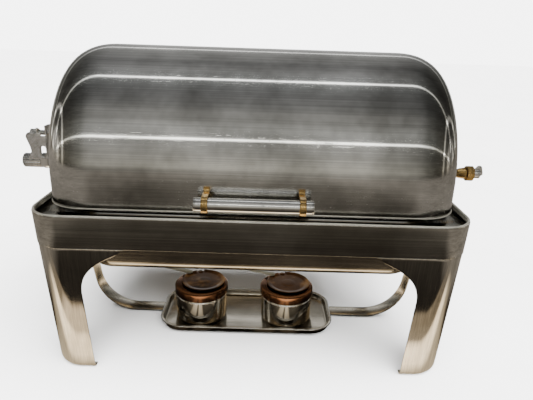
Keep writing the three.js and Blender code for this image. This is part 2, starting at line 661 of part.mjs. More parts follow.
const fuelCan = () => turned([
  [0, 0], [FUEL_RADIUS, 0], [FUEL_RADIUS, FUEL_HEIGHT - 2], [FUEL_RADIUS - 2, FUEL_HEIGHT],
  [FUEL_MOUTH, FUEL_HEIGHT], [FUEL_MOUTH, FUEL_HEIGHT - 5], [0, FUEL_HEIGHT - 5],
], 20);

// The ring lid hangs over the cup, with its top sheet open in the middle for the flame.
function burnerLid() {
  const ring = turned(closed([
    [FLAME_RADIUS, LID_TOP - LID_SHEET], [LID_RADIUS - LID_SHEET, LID_TOP - LID_SHEET],
    [LID_RADIUS - LID_SHEET, LID_TOP - LID_SKIRT], [LID_RADIUS, LID_TOP - LID_SKIRT],
    [LID_RADIUS, LID_TOP - 1.5], [LID_RADIUS - 1.5, LID_TOP], [FLAME_RADIUS, LID_TOP],
  ]), 28);
  const [x, y] = shutterPivot();
  return ring.subtract(placed(rod(RIVET_RADIUS + GAP, LID_TOP - 8, LID_TOP + 8, 12), move(x, y, 0)));
}
function shutterPivot() {
  const angle = THREE.MathUtils.degToRad(SHUTTER_PIVOT_ANGLE);
  return [SHUTTER_PIVOT * Math.cos(angle), SHUTTER_PIVOT * Math.sin(angle)];
}

// A dished disc that covers the flame opening; it swings about its rivet.
function shutterDisc() {
  const top = SHUTTER_Z + SHUTTER_SHEET;
  const rim = top + SHUTTER_DISH;
  const dish = turned([
    [0, SHUTTER_Z], [SHUTTER_RADIUS, SHUTTER_Z], [SHUTTER_RADIUS, rim], [SHUTTER_RADIUS - 3, rim],
    [SHUTTER_RADIUS - 8, top], [0, top],
  ], 24);
  const disc = placed(dish, move(SHUTTER_X, SHUTTER_Y, 0));
  const [x, y] = shutterPivot();
  const flat = rod(8, top, top + 5, 16);
  return disc.subtract(placed(flat, move(x, y, 0)))
    .subtract(placed(rod(RIVET_RADIUS + GAP, SHUTTER_Z - 5, top + 8, 12), move(x, y, 0)));
}

function shutterRivet() {
  const top = SHUTTER_Z + SHUTTER_SHEET + GAP;
  const bottom = LID_TOP - LID_SHEET - GAP;
  return turned([
    [0, bottom - 1.2], [RIVET_RADIUS + 2, bottom - 1.2], [RIVET_RADIUS + 2, bottom], [RIVET_RADIUS, bottom],
    [RIVET_RADIUS, top], [RIVET_RADIUS + 2.5, top], [RIVET_RADIUS + 1.5, top + 1.3], [0, top + 1.6],
  ], 12);
}

// A flat lever that lies on the shutter's raised edge and reaches out past the lid.
function shutterLever() {
  const half = LEVER_WIDTH / 2;
  const outline = new THREE.Shape();
  outline.absarc(0, 0, half, 1.5 * Math.PI, 0.5 * Math.PI, true);
  outline.absarc(LEVER_LENGTH - LEVER_WIDTH, 0, half, 0.5 * Math.PI, -0.5 * Math.PI, true);
  return plate(outline, LEVER_SHEET);
}

// ---------------------------------------------------------------- assembly
export const model = new THREE.Group();

function add(parent, name, shape, material, position = [0, 0, 0], rotation = [0, 0, 0]) {
  const mesh = new THREE.Mesh(geometryOf(shape), material);
  mesh.name = name;
  mesh.position.set(...position);
  mesh.rotation.set(...rotation);
  parent.add(mesh);
  return mesh;
}
const facing = { left: [0, -Math.PI / 2, 0], right: [0, Math.PI / 2, 0] };
const sides = [["left", -1], ["right", 1]];

function addStand() {
  const stand = new THREE.Group();
  add(stand, "frame_band", frameBand(), brushedSteel);
  for (const [name, shape] of Object.entries(legs())) add(stand, name, shape, brushedSteel);
  add(stand, "burner_strap", strap(), brushedSteel);
  add(stand, "pan_carrier", panCarrier(), brushedSteel);
  for (const [sideName, sign] of sides) {
    const wall = (z) => HALF_LENGTH - leanAt(z);
    for (const [endName, end] of [["front", -1], ["rear", 1]]) {
      add(stand, `strap_rivet_${sideName}_${endName}`, strapRivet(), polishedSteel,
        [sign * wall(RIVET_Z), STRAP_CENTRE + (end * STRAP_WIDTH) / 4, RIVET_Z], facing[sideName]);
      add(stand, `bracket_screw_${sideName}_${endName}`, screw(12), polishedSteel,
        [sign * (BRACKET_X + BRACKET_SHEET), (end * SCREW_SPREAD) / 2, SCREW_Z], facing[sideName]);
    }
  }
  model.add(stand);
}

function addPivots() {
  const pivots = new THREE.Group();
  pivots.position.z = PIVOT_Z;
  const bore = STUD_RADIUS + GAP;
  const innerNutX = EAR_X - SHELF_SHEET - GAP - INNER_NUT_LENGTH;
  const studEnd = { left: HALF_LENGTH + KNOB_STUD_REACH, right: WING_X + WING_BORE - GAP };
  for (const [sideName, sign] of sides) {
    const at = (x) => [sign * x, 0, 0];
    const turn = facing[sideName];
    const stud = rod(STUD_RADIUS, innerNutX - STUD_STICK_OUT, studEnd[sideName]);
    add(pivots, `pivot_stud_${sideName}`, stud, polishedSteel, [0, 0, 0], turn);
    const innerNut = hexNut(INNER_NUT_RADIUS, INNER_NUT_LENGTH, bore);
    add(pivots, `stud_nut_${sideName}`, innerNut, polishedSteel, at(innerNutX), turn);
    add(pivots, `end_bracket_${sideName}`, endBracket(), brushedSteel,
      [sign > 0 ? BRACKET_X : -BRACKET_X - BRACKET_SHEET, 0, -PIVOT_RISE]);
    const sleeve = tube(SLEEVE_RADIUS, bore, 0, SLEEVE_LENGTH, 20);
    add(pivots, `pivot_sleeve_${sideName}`, sleeve, polishedSteel, at(SLEEVE_X), turn);
  }
  add(pivots, "brass_hex_nut", hexNut(NUT_RADIUS, NUT_LENGTH, bore), brass, [NUT_X, 0, 0], facing.right);
  const collar = flutedNut(COLLAR_RADIUS, COLLAR_LENGTH, bore);
  add(pivots, "brass_collar", collar, brass, [COLLAR_X, 0, 0], facing.right);
  add(pivots, "clamp_lever", wingLever(), polishedSteel, [WING_X, 0, 0], facing.right);
  const lockX = -NUT_X - LOCK_PLATE_THICK;
  add(pivots, "lock_bracket", lockBracket(), brushedSteel, [lockX, 0, 0]);
  const lockNut = hexNut(LOCK_NUT_RADIUS, LOCK_NUT_LENGTH, bore);
  add(pivots, "lock_nut", lockNut, polishedSteel, [lockX - GAP, 0, 0], facing.left);
  add(pivots, "end_knob", flutedNut(END_KNOB_RADIUS, END_KNOB_LENGTH, bore), darkGrip,
    [lockX - LOCK_NUT_LENGTH - 2 * GAP, 0, 0], facing.left);
  const boltEnd = -lockX + LOCK_FLANGE - BOLT_SHORTFALL;
  const bolt = rod(BOLT_RADIUS, COVER_HALF + BOLT_CLEAR, boltEnd, 16);
  add(pivots, "lock_bolt", bolt, polishedSteel, [0, 0, BOLT_RISE], facing.left);
  add(pivots, "bolt_knob", flutedNut(BOLT_KNOB_RADIUS, BOLT_KNOB_LENGTH, BOLT_RADIUS + GAP), darkGrip,
    [-boltEnd + BOLT_KNOB_LENGTH - BOLT_TIP, 0, BOLT_RISE], facing.left);
  add(pivots, "bracket_top_screw", screw(LOCK_PLATE_THICK), polishedSteel,
    [lockX + LOCK_SCREW_X, -LOCK_PLATE_WIDTH / 2, LOCK_SCREW_Z], [Math.PI / 2, 0, 0]);
  model.add(pivots);
}

function addPans() {
  add(model, "water_pan", pan(WATER_LIP_Z, WATER_DEPTH, PAN_LIP, WATER_FLOOR_ROUND), brushedSteel);
  const foodInset = PAN_LIP + PAN_SHEET + WATER_WALL_GAP;
  add(model, "food_pan", pan(FOOD_LIP_Z, FOOD_DEPTH, foodInset, FOOD_FLOOR_ROUND), polishedSteel);
}

function addCover() {
  const cover = new THREE.Group();
  add(cover, "cover_shell", coverShell(), brushedSteel);
  for (const [sideName, sign] of sides) {
    const bushPlace = [sign * COVER_HALF, 0, PIVOT_Z];
    add(cover, `cover_bush_${sideName}`, coverBush(), brass, bushPlace, facing[sideName]);
  }
  const grip = new THREE.Group();
  grip.position.set(HANDLE_OFFSET, HANDLE_Y, HANDLE_Z);
  add(grip, "handle_tube", handleTube(), polishedSteel, [0, 0, 0], facing.right);
  for (const [sideName, sign] of sides) {
    const capPlace = [(sign * HANDLE_LENGTH) / 2, 0, 0];
    add(grip, `handle_cap_${sideName}`, handleCap(), polishedSteel, capPlace, facing[sideName]);
    const x = sign * (HANDLE_LENGTH / 2 - ARM_INSET);
    add(grip, `handle_arm_${sideName}`, handleArm(), brass, [x, 0, 0]);
  }
  cover.add(grip);
  model.add(cover);
}

function addBurners() {
  const base = new THREE.Group();
  add(base, "burner_tray", tray(), brushedSteel, [TRAY_X, TRAY_Y, TRAY_Z]);
  for (const [sideName, sign] of sides) {
    const burner = new THREE.Group();
    burner.position.set(BURNER_X + (sign * BURNER_SPACING) / 2, BURNER_Y, CUP_Z);
    add(burner, `burner_cup_${sideName}`, burnerCup(), polishedSteel);
    add(burner, `fuel_can_${sideName}`, fuelCan(), fuelTin, [0, 0, CUP_SHEET + GAP]);
    add(burner, `burner_lid_${sideName}`, burnerLid(), tintedSteel);
    add(burner, `shutter_${sideName}`, shutterDisc(), tintedSteel);
    const [x, y] = shutterPivot();
    add(burner, `shutter_rivet_${sideName}`, shutterRivet(), polishedSteel, [x, y, 0]);
    const turn = THREE.MathUtils.degToRad(LEVER_ANGLE);
    const leverZ = SHUTTER_Z + SHUTTER_SHEET + SHUTTER_DISH + GAP;
    add(burner, `shutter_lever_${sideName}`, shutterLever(), polishedSteel,
      [LEVER_START_X, LEVER_START_Y, leverZ], [0, 0, turn]);
    base.add(burner);
  }
  model.add(base);
}

addStand();
addPivots();
addPans();
addCover();
addBurners();

// The frame's origin is under the middle of the whole object's box, on the floor.
const box = new THREE.Box3().setFromObject(model);
const middle = box.getCenter(new THREE.Vector3());
model.position.set(-middle.x, -middle.y, -box.min.z);

export default model;
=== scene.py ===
# Roll-top chafing dish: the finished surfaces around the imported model, in metres, +Z up.
import json
import math

import bmesh
import bpy
from mathutils import Matrix, Vector


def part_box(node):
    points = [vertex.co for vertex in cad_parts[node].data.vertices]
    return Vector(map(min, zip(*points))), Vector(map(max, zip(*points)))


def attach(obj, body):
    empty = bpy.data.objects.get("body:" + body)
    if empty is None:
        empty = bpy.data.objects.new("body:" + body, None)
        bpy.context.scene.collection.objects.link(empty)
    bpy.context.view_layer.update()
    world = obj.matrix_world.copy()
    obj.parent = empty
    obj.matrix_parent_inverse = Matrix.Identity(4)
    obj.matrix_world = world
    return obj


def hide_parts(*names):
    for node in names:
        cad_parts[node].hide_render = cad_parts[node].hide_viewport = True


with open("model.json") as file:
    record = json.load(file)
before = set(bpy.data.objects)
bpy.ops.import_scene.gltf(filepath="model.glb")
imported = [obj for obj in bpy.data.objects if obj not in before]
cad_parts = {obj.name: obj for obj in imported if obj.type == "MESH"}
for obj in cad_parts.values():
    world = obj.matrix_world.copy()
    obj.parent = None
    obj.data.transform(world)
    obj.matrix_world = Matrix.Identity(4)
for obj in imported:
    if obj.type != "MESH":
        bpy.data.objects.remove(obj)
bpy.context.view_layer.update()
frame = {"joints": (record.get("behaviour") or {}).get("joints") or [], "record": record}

MM = 0.001
TURN = 2 * math.pi
SIDES = (("left", -1), ("right", 1))


# ---------------------------------------------------------------- places, read from the frame
def centre_of(node):
    low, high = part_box(node)
    return (Vector(low) + Vector(high)) / 2


def size_of(node):
    low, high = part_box(node)
    return Vector(high) - Vector(low)


def corners(node):
    return (Vector(v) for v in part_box(node))


def joint_place(name):
    joint = next(j for j in frame["record"]["behaviour"]["joints"] if j["name"] == name)
    return Vector(joint["pos_m"])


BAND_LOW, BAND_HIGH = corners("frame_band")
MID_Y = (BAND_LOW.y + BAND_HIGH.y) / 2
HALF_LENGTH = (BAND_HIGH.x - BAND_LOW.x) / 2
HALF_DEPTH = (BAND_HIGH.y - BAND_LOW.y) / 2
RIM_Z = BAND_HIGH.z
BAND_BOTTOM = BAND_LOW.z
PIVOT = joint_place("cover_roll")
LEAN = 11.5 * MM  # how much wider the stand is at its rim than on the ground, on each side
CORNER = 48 * MM  # radius of the stand's upright corners
SHEET = 1.5 * MM  # the stand's sheet
STUD_RADIUS = 5 * MM
STUD_HOLE = 5.3 * MM
BOLT_RADIUS = 4.5 * MM
BOLT_HOLE = 4.8 * MM
CUP_RADIUS = 46 * MM
CUP_WALL = 1.2 * MM
FUEL_RADIUS = 41 * MM
FUEL_MOUTH = 26 * MM
LID_RADIUS = 47.8 * MM
FLAME_RADIUS = 30 * MM
PIN_HOLE = 2.8 * MM


def lean_at(z):
    return LEAN * (1 - z / RIM_Z)


# ---------------------------------------------------------------- mesh makers
def linked(name, data):
    made = bpy.data.objects.new(name, data)
    bpy.context.scene.collection.objects.link(made)
    return made


def evaluated(holder):
    """The holder's final mesh; the holder itself goes."""
    graph = bpy.context.evaluated_depsgraph_get()
    result = bpy.data.meshes.new_from_object(holder.evaluated_get(graph))
    bpy.data.objects.remove(holder)
    return result


def finished(name, mesh, material, body, nodes, sharp=35):
    mesh.validate()
    for polygon in mesh.polygons:
        polygon.use_smooth = True
    mesh.set_sharp_from_angle(angle=math.radians(sharp))
    mesh.materials.clear()
    mesh.materials.append(material)
    made = linked(name, mesh)
    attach(made, body)
    if nodes:
        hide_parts(*nodes)
    return made


def mesh_of(verts, faces, name="part"):
    bm = bmesh.new()
    points = [bm.verts.new(v) for v in verts]
    for face in faces:
        corners = [points[i] for i in face]
        if len(set(corners)) > 2:
            bm.faces.new(corners)
    bmesh.ops.remove_doubles(bm, verts=bm.verts, dist=1e-6)
    bmesh.ops.dissolve_degenerate(bm, edges=bm.edges, dist=1e-7)
    bmesh.ops.recalc_face_normals(bm, faces=bm.faces)
    mesh = bpy.data.meshes.new(name)
    bm.to_mesh(mesh)
    bm.free()
    return mesh


def join_meshes(meshes, name="part"):
    bm = bmesh.new()
    for mesh in meshes:
        bm.from_mesh(mesh)
        bpy.data.meshes.remove(mesh)
    joined = bpy.data.meshes.new(name)
    bm.to_mesh(joined)
    bm.free()
    return joined


def at(x, y, z):
    return Matrix.Translation((x, y, z))


def moved(mesh, matrix):
    mesh.transform(matrix)
    if matrix.determinant() < 0:
        mesh.flip_normals()
    return mesh


def facing_out(mesh, outward):
    """An open shell with its faces turned to the side that outward(face) gives as positive."""
    bm = bmesh.new()
    bm.from_mesh(mesh)
    if sum(outward(face) for face in bm.faces) < 0:
        bmesh.ops.reverse_faces(bm, faces=bm.faces)
    bm.to_mesh(mesh)
    bm.free()
    return mesh


def with_modifiers(mesh, *settings):
    """The mesh with modifiers applied; each setting is (type, {attribute: value})."""
    holder = linked("holder", mesh)
    for kind, values in settings:
        modifier = holder.modifiers.new(kind, kind)
        for key, value in values.items():
            setattr(modifier, key, value)
    return evaluated(holder)


def solidify(thickness, offset=-1):
    return ("SOLIDIFY", {"thickness": thickness, "offset": offset, "use_even_offset": True,
                         "use_quality_normals": True})


def bevel(width, segments=2, angle=35):
    return ("BEVEL", {"width": width, "segments": segments, "limit_method": "ANGLE",
                      "angle_limit": math.radians(angle), "use_clamp_overlap": True})


def quarter(steps):
    return [math.pi / 2 * i / steps for i in range(steps + 1)]


def rings(rows, wrap=True, cap_start=False, cap_end=False, loop=False):
    """Quads between rows of equal length; wrap closes each row, loop joins the last row to the first."""
    count = len(rows[0])
    verts = [point for row in rows for point in row]
    faces = []
    last = len(rows) if loop else len(rows) - 1
    for i in range(last):
        near, far = i * count, ((i + 1) % len(rows)) * count
        for k in range(count if wrap else count - 1):
            after = (k + 1) % count
            faces.append((near + k, near + after, far + after, far + k))
    if cap_start:
        faces.append(tuple(reversed(range(count))))
    if cap_end:
        faces.append(tuple(range((len(rows) - 1) * count, len(rows) * count)))
    return mesh_of(verts, faces)


def turned(profile, segments=64):
    """A solid of revolution about Z from (radius, height) points that start and end on the axis."""
    turns = [TURN * k / segments for k in range(segments)]
    rows = [[(r * math.cos(t), r * math.sin(t), z) for t in turns] for r, z in profile]
    closed = profile[0] == profile[-1]
    return rings(rows[:-1] if closed else rows, loop=closed)


def eased(points, radius, steps=4):
    """A profile with its inner corners rounded; the first and last points stay."""
    result = [points[0]]
    for before, corner, after in zip(points, points[1:], points[2:]):
        here, back, on = Vector(corner), Vector(before), Vector(after)
        cut = min(radius, (back - here).length * 0.45, (on - here).length * 0.45)
        start = here + (back - here).normalized() * cut
        end = here + (on - here).normalized() * cut
        for i in range(steps + 1):
            t = i / steps
            point = start * (1 - t) ** 2 + here * 2 * t * (1 - t) + end * t ** 2
            result.append((point.x, point.y))
    return result + [points[-1]]


def eased_loop(points, radius, steps=3):
    """The same for a closed profile; the first point is repeated at the end."""
    middle = ((points[0][0] + points[1][0]) / 2, (points[0][1] + points[1][1]) / 2)
    return eased([middle] + points[1:] + [points[0], middle], radius, steps)


def rounded_rectangle(half_x, half_y, radius, z, middle=(0, 0), steps=16):
    points = []
    for quarter, (side_x, side_y) in enumerate(((1, 1), (-1, 1), (-1, -1), (1, -1))):
        for i in range(steps + 1):
            angle = (quarter + i / steps) * math.pi / 2
            points.append((middle[0] + side_x * (half_x - radius) + radius * math.cos(angle),
                           middle[1] + side_y * (half_y - radius) + radius * math.sin(angle), z))
    return points


def swept_rim(half_x, half_y, radius, profile, middle, steps=16):
    """A closed (inset, height) profile carried round a rounded rectangle."""
    rows = [rounded_rectangle(half_x - inset, half_y - inset, max(radius - inset, 0.5 * MM), z, middle,
                              steps)
            for inset, z in profile[:-1]]
    return rings(rows, loop=True)


def flat_plate(loops, thickness, matrix, edge=0.3 * MM):
    """A flat plate with softened edges from closed outlines of (x, y) points; later outlines are holes."""
    curve = bpy.data.curves.new("outline", "CURVE")
    curve.dimensions = "2D"
    curve.fill_mode = "BOTH"
    curve.extrude = thickness / 2 - edge
    curve.bevel_depth = edge
    curve.bevel_resolution = 1
    curve.offset = -edge
    for loop in loops:
        spline = curve.splines.new("POLY")
        spline.points.add(len(loop) - 1)
        for point, (x, y) in zip(spline.points, loop):
            point.co = (x, y, 0, 1)
        spline.use_cyclic_u = True
    mesh = evaluated(linked("outline", curve))
    bm = bmesh.new()
    bm.from_mesh(mesh)
    bmesh.ops.remove_doubles(bm, verts=bm.verts, dist=1e-6)
    bmesh.ops.recalc_face_normals(bm, faces=bm.faces)
    bm.to_mesh(mesh)
    bm.free()
    return moved(mesh, matrix @ at(0, 0, thickness / 2))


def arc(x, y, radius, start, end, steps=12):
    return [(x + radius * math.cos(math.radians(start + (end - start) * i / steps)),
             y + radius * math.sin(math.radians(start + (end - start) * i / steps)))
            for i in range(steps + 1)]


STAND_UP = Matrix.Rotation(math.pi / 2, 4, "X")  # a flat outline faces -Y
STAND_ACROSS = Matrix.Rotation(math.pi / 2, 4, "Z") @ STAND_UP  # a flat outline faces along X


def along_x(sign):
    return Matrix.Rotation(sign * math.pi / 2, 4, "Y")


def cut_by(mesh, *cutters):
    """The mesh with round rods cut out of it; each cutter is (centre, axis, radius, length)."""
    for centre, axis, radius, length in cutters:
        rod = turned([(0, -length / 2), (radius, -length / 2), (radius, length / 2), (0, length / 2)], 32)
        turn = {"X": along_x(1), "Y": STAND_UP, "Z": Matrix()}[axis]
        rod_object = linked("cutter", moved(rod, Matrix.Translation(centre) @ turn))
        cut = {"operation": "DIFFERENCE", "solver": "EXACT", "object": rod_object}
        mesh = with_modifiers(mesh, ("BOOLEAN", cut))
        bpy.data.objects.remove(rod_object)
    return mesh


# ---------------------------------------------------------------- geometry-node makers
def node_tree(name, inputs):
    tree = bpy.data.node_groups.new(name, "GeometryNodeTree")
    tree.interface.new_socket("Geometry", in_out="INPUT", socket_type="NodeSocketGeometry")
    for label, kind, value in inputs:
        socket = tree.interface.new_socket(label, in_out="INPUT", socket_type=kind)
        if kind != "NodeSocketMaterial":
            socket.default_value = value
    tree.interface.new_socket("Geometry", in_out="OUTPUT", socket_type="NodeSocketGeometry")
    return tree, tree.nodes.new("NodeGroupInput"), tree.nodes.new("NodeGroupOutput")


def node(tree, kind, links=None, **values):
    made = tree.nodes.new(kind)
    for key, value in values.items():
        setattr(made, key, value)
    for key, value in (links or {}).items():
        socket = made.inputs[key]
        if hasattr(value, "is_output"):
            tree.links.new(value, socket)
        else:
            socket.default_value = value
    return made


def maths(tree, operation, first, second=None):
    links = {0: first} if second is None else {0: first, 1: second}
    return node(tree, "ShaderNodeMath", links, operation=operation).outputs[0]


def spread(tree, value, low, high, start=0.0, end=1.0):
    links = {0: value, 1: low, 2: high, 3: start, 4: end}
    return node(tree, "ShaderNodeMapRange", links).outputs[0]


def axes_of(tree, place):
    return node(tree, "ShaderNodeSeparateXYZ", {0: place}).outputs


def run_tree(tree, mesh, values, material):
    """The mesh after the tree, with its inputs set by their identifiers before it is first worked out."""
    holder = linked("holder", mesh)
    modifier = holder.modifiers.new("tree", "NODES")
    modifier.node_group = tree
    names = {item.name: item.identifier for item in tree.interface.items_tree if item.in_out == "INPUT"}
    for label, value in {**values, "Material": material}.items():
        modifier[names[label]] = value
    return evaluated(holder)


def end_tree(tree, source, sink, shape):
    """Every tree's last nodes: real geometry in the asked material."""
    real = node(tree, "GeometryNodeRealizeInstances", {"Geometry": shape.outputs[0]})
    painted = node(tree, "GeometryNodeSetMaterial",
                   {"Geometry": real.outputs[0], "Material": source.outputs["Material"]})
    tree.links.new(painted.outputs[0], sink.inputs[0])
    return tree


def strip_tree():
    """Carries a flat rounded section along a drawn path of edges."""
    tree, source, sink = node_tree("strip_along_path", [
        ("Width", "NodeSocketFloat", 0.03), ("Thickness", "NodeSocketFloat", 0.003),
        ("Edge", "NodeSocketFloat", 0.0006), ("Material", "NodeSocketMaterial", None)])
    path = node(tree, "GeometryNodeMeshToCurve", {"Mesh": source.outputs["Geometry"]})
    section = node(tree, "GeometryNodeCurvePrimitiveQuadrilateral",
                   {"Width": source.outputs["Width"], "Height": source.outputs["Thickness"]})
    soft = node(tree, "GeometryNodeFilletCurve",
                {"Curve": section.outputs[0], "Radius": source.outputs["Edge"],
                 "Limit Radius": True, "Count": 3}, mode="POLY")
    swept = node(tree, "GeometryNodeCurveToMesh",
                 {"Curve": path.outputs[0], "Profile Curve": soft.outputs[0],
                  "Fill Caps": True})
    return end_tree(tree, source, sink, swept)


def bead_tree():
    """Carries a round bead along a drawn path of edges."""
    tree, source, sink = node_tree("bead_along_path", [
        ("Radius", "NodeSocketFloat", 0.002), ("Material", "NodeSocketMaterial", None)])
    path = node(tree, "GeometryNodeMeshToCurve", {"Mesh": source.outputs["Geometry"]})
    section = node(tree, "GeometryNodeCurvePrimitiveCircle",
                   {"Resolution": 12, "Radius": source.outputs["Radius"]})
    swept = node(tree, "GeometryNodeCurveToMesh",
                 {"Curve": path.outputs[0], "Profile Curve": section.outputs[0],
                  "Fill Caps": True})
    return end_tree(tree, source, sink, swept)


def row_tree():
    """Copies one fastener along a straight row."""
    tree, source, sink = node_tree("fastener_row", [
        ("Count", "NodeSocketInt", 2), ("Step", "NodeSocketVector", (0, 0.01, 0)),
        ("Material", "NodeSocketMaterial", None)])
    line = node(tree, "GeometryNodeMeshLine",
                {"Count": source.outputs["Count"], "Offset": source.outputs["Step"]})
    copies = node(tree, "GeometryNodeInstanceOnPoints",
                  {"Points": line.outputs[0], "Instance": source.outputs["Geometry"]})
    return end_tree(tree, source, sink, copies)


def flute_tree():
    """Presses shallow flutes into the outside of a turned knob about Z."""
    tree, source, sink = node_tree("knob_flutes", [
        ("Flutes", "NodeSocketFloat", 20.0), ("Depth", "NodeSocketFloat", 0.0006),
        ("Inside", "NodeSocketFloat", 0.006), ("Material", "NodeSocketMaterial", None)])
    axes = axes_of(tree, node(tree, "GeometryNodeInputPosition").outputs[0])
    flat = node(tree, "ShaderNodeCombineXYZ", {"X": axes["X"], "Y": axes["Y"]})
    outward = node(tree, "ShaderNodeVectorMath", {0: flat.outputs[0]}, operation="NORMALIZE")
    radius = node(tree, "ShaderNodeVectorMath", {0: flat.outputs[0]}, operation="LENGTH")
    turns = maths(tree, "MULTIPLY", maths(tree, "ARCTAN2", axes["Y"], axes["X"]), source.outputs["Flutes"])
    deep = maths(tree, "MULTIPLY", maths(tree, "COSINE", turns), source.outputs["Depth"])
    outer = node(tree, "FunctionNodeCompare", {0: radius.outputs["Value"], 1: source.outputs["Inside"]},
                 data_type="FLOAT", operation="GREATER_THAN")
    shift = node(tree, "ShaderNodeVectorMath", {0: outward.outputs[0], "Scale": deep}, operation="SCALE")
    pressed = node(tree, "GeometryNodeSetPosition",
                   {"Geometry": source.outputs["Geometry"], "Selection": outer.outputs[0],
                    "Offset": shift.outputs[0]})
    return end_tree(tree, source, sink, pressed)


STRIP = strip_tree()
BEAD = bead_tree()
ROW = row_tree()
FLUTES = flute_tree()


def path_mesh(points, closed=False):
    mesh = bpy.data.meshes.new("path")
    edges = [(i, i + 1) for i in range(len(points) - 1)]
    if closed:
        edges.append((len(points) - 1, 0))
    mesh.from_pydata(points, edges, [])
    return mesh


# ---------------------------------------------------------------- materials
def shader(name):
    material = bpy.data.materials.new(name)
    material.use_nodes = True
    tree = material.node_tree
    return material, tree, tree.nodes["Principled BSDF"]


def grain(tree, coordinates, stretch, scale, detail=4.0, rotation=(0, 0, 0)):
    """Noise drawn out along an axis, as polishing lines are."""
    mapping = node(tree, "ShaderNodeMapping",
                   {"Vector": coordinates, "Scale": stretch, "Rotation": rotation})
    return node(tree, "ShaderNodeTexNoise", {"Vector": mapping.outputs[0], "Scale": scale, "Detail": detail,
                                             "Roughness": 0.62}).outputs[0]


def ramp(tree, factor, stops):
    made = node(tree, "ShaderNodeValToRGB", {"Fac": factor})
    elements = made.color_ramp.elements
    while len(elements) < len(stops):
        elements.new(0.5)
    for element, (position, colour) in zip(elements, stops):
        element.position = position
        element.color = (*colour, 1) if len(colour) == 3 else colour
    return made.outputs[0]


def grey(value):
    return (value, value, value)


def step(low, high):
    return [(low, grey(0)), (high, grey(1))]


def mixed(tree, factor, first, second, blend="MIX"):
    made = node(tree, "ShaderNodeMix", data_type="RGBA", blend_type=blend)
    for index, value in ((0, factor), (6, first), (7, second)):
        if hasattr(value, "is_output"):
            tree.links.new(value, made.inputs[index])
        else:
            made.inputs[index].default_value = (*value, 1) if index and len(value) == 3 else value
    return made.outputs[2]


def steel(name, light, dark, rough, stretch, lines=0.25, depth=0.02, marks=0.3, stain=None, stained=0.6):
    """Worn brushed steel: long fine lines, crossing scratches, cloudy patches, an optional stain colour."""
    material, tree, surface = shader(name)
    place = node(tree, "ShaderNodeTexCoord").outputs["Object"]
    fine = grain(tree, place, stretch, 22, 6)
    broad = grain(tree, place, tuple(0.3 * v for v in stretch), 14, 3)
    clouds = grain(tree, place, (1, 1, 1), 7, 4)
    scuffs = grain(tree, place, (3, 45, 45), 9, 2, (0.4, 0.9, 0.6))
    cross = grain(tree, place, (40, 4, 40), 8, 2, (0.5, 0.3, 0.8))
    scratches = mixed(tree, 1.0, ramp(tree, scuffs, step(0.66, 0.70)),
                      ramp(tree, cross, step(0.67, 0.71)), "ADD")
    cloudy = ramp(tree, clouds, step(0.36, 0.66))
    tone = mixed(tree, cloudy, dark, light)
    streaky = ramp(tree, mixed(tree, 0.5, fine, broad), [(0.36, grey(1 - lines)), (0.62, grey(1))])
    tone = mixed(tree, 1.0, tone, streaky, "MULTIPLY")
    if stain:
        patches = ramp(tree, grain(tree, place, (1, 1, 1.6), 16, 7),
                       [(0.50, grey(0)), (0.70, grey(stained))])
        tone = mixed(tree, patches, tone, stain)
    tree.links.new(tone, surface.inputs["Base Color"])
    low, high = rough
    roughness = mixed(tree, fine, grey(low), grey(high))
    roughness = mixed(tree, mixed(tree, 1.0, cloudy, grey(0.5), "MULTIPLY"), roughness, grey(high))
    roughness = mixed(tree, mixed(tree, 1.0, scratches, grey(marks), "MULTIPLY"), roughness,
                      grey(min(high * 1.9, 0.7)))
    tree.links.new(roughness, surface.inputs["Roughness"])
    surface.inputs["Metallic"].default_value = 1.0
    brushed = node(tree, "ShaderNodeBump", {"Strength": depth, "Distance": 0.0004, "Height": fine})
    scored = node(tree, "ShaderNodeBump",
                  {"Strength": marks * 0.12, "Distance": 0.0003, "Height": scratches,
                   "Normal": brushed.outputs[0]})
    tree.links.new(scored.outputs[0], surface.inputs["Normal"])
    return material


def less_metal(material, share):
    material.node_tree.nodes["Principled BSDF"].inputs["Metallic"].default_value = share


def rougher_low(material, low, high, times):
    """Duller polish below one height, easing to the full polish at another."""
    tree = material.node_tree
    rough = tree.nodes["Principled BSDF"].inputs["Roughness"]
    made = rough.links[0].from_socket
    height = axes_of(tree, node(tree, "ShaderNodeTexCoord").outputs["Object"])["Z"]
    tree.links.new(maths(tree, "MULTIPLY", made, spread(tree, height, low, high, times)), rough)


ALONG_X = (0.10, 26, 26)
UPRIGHT = (26, 26, 0.14)
EVEN = (8, 8, 8)
COVER_STEEL = steel("cover_steel", (0.80, 0.795, 0.77), (0.36, 0.355, 0.335), (0.03, 0.10), ALONG_X, 0.30,
                    0.012, 0.42)
rougher_low(COVER_STEEL, 0.30, 0.36, 2.2)
FRAME_STEEL = steel("frame_steel", (0.64, 0.62, 0.57), (0.40, 0.38, 0.33), (0.10, 0.20), ALONG_X, 0.40,
                    0.02, 0.14)
LEG_STEEL = steel("leg_steel", (0.62, 0.59, 0.53), (0.44, 0.41, 0.35), (0.045, 0.12), UPRIGHT, 0.34, 0.015,
                  0.15)
PAN_STEEL = steel("pan_steel", (0.58, 0.54, 0.46), (0.42, 0.385, 0.32), (0.12, 0.24), (0.3, 14, 14), 0.3,
                  0.02, 0.15)
RIM_STEEL = steel("rim_steel", (0.76, 0.73, 0.64), (0.56, 0.53, 0.45), (0.26, 0.40), EVEN, 0.2, 0.03, 0.1)
less_metal(RIM_STEEL, 0.94)
POLISHED = steel("polished_steel", (0.82, 0.81, 0.78), (0.66, 0.65, 0.62), (0.04, 0.11), (12, 12, 2), 0.15,
                 0.01, 0.2)
PLATE_STEEL = steel("plate_steel", (0.88, 0.87, 0.85), (0.46, 0.45, 0.43), (0.10, 0.22), EVEN, 0.3, 0.04,
                    0.25)
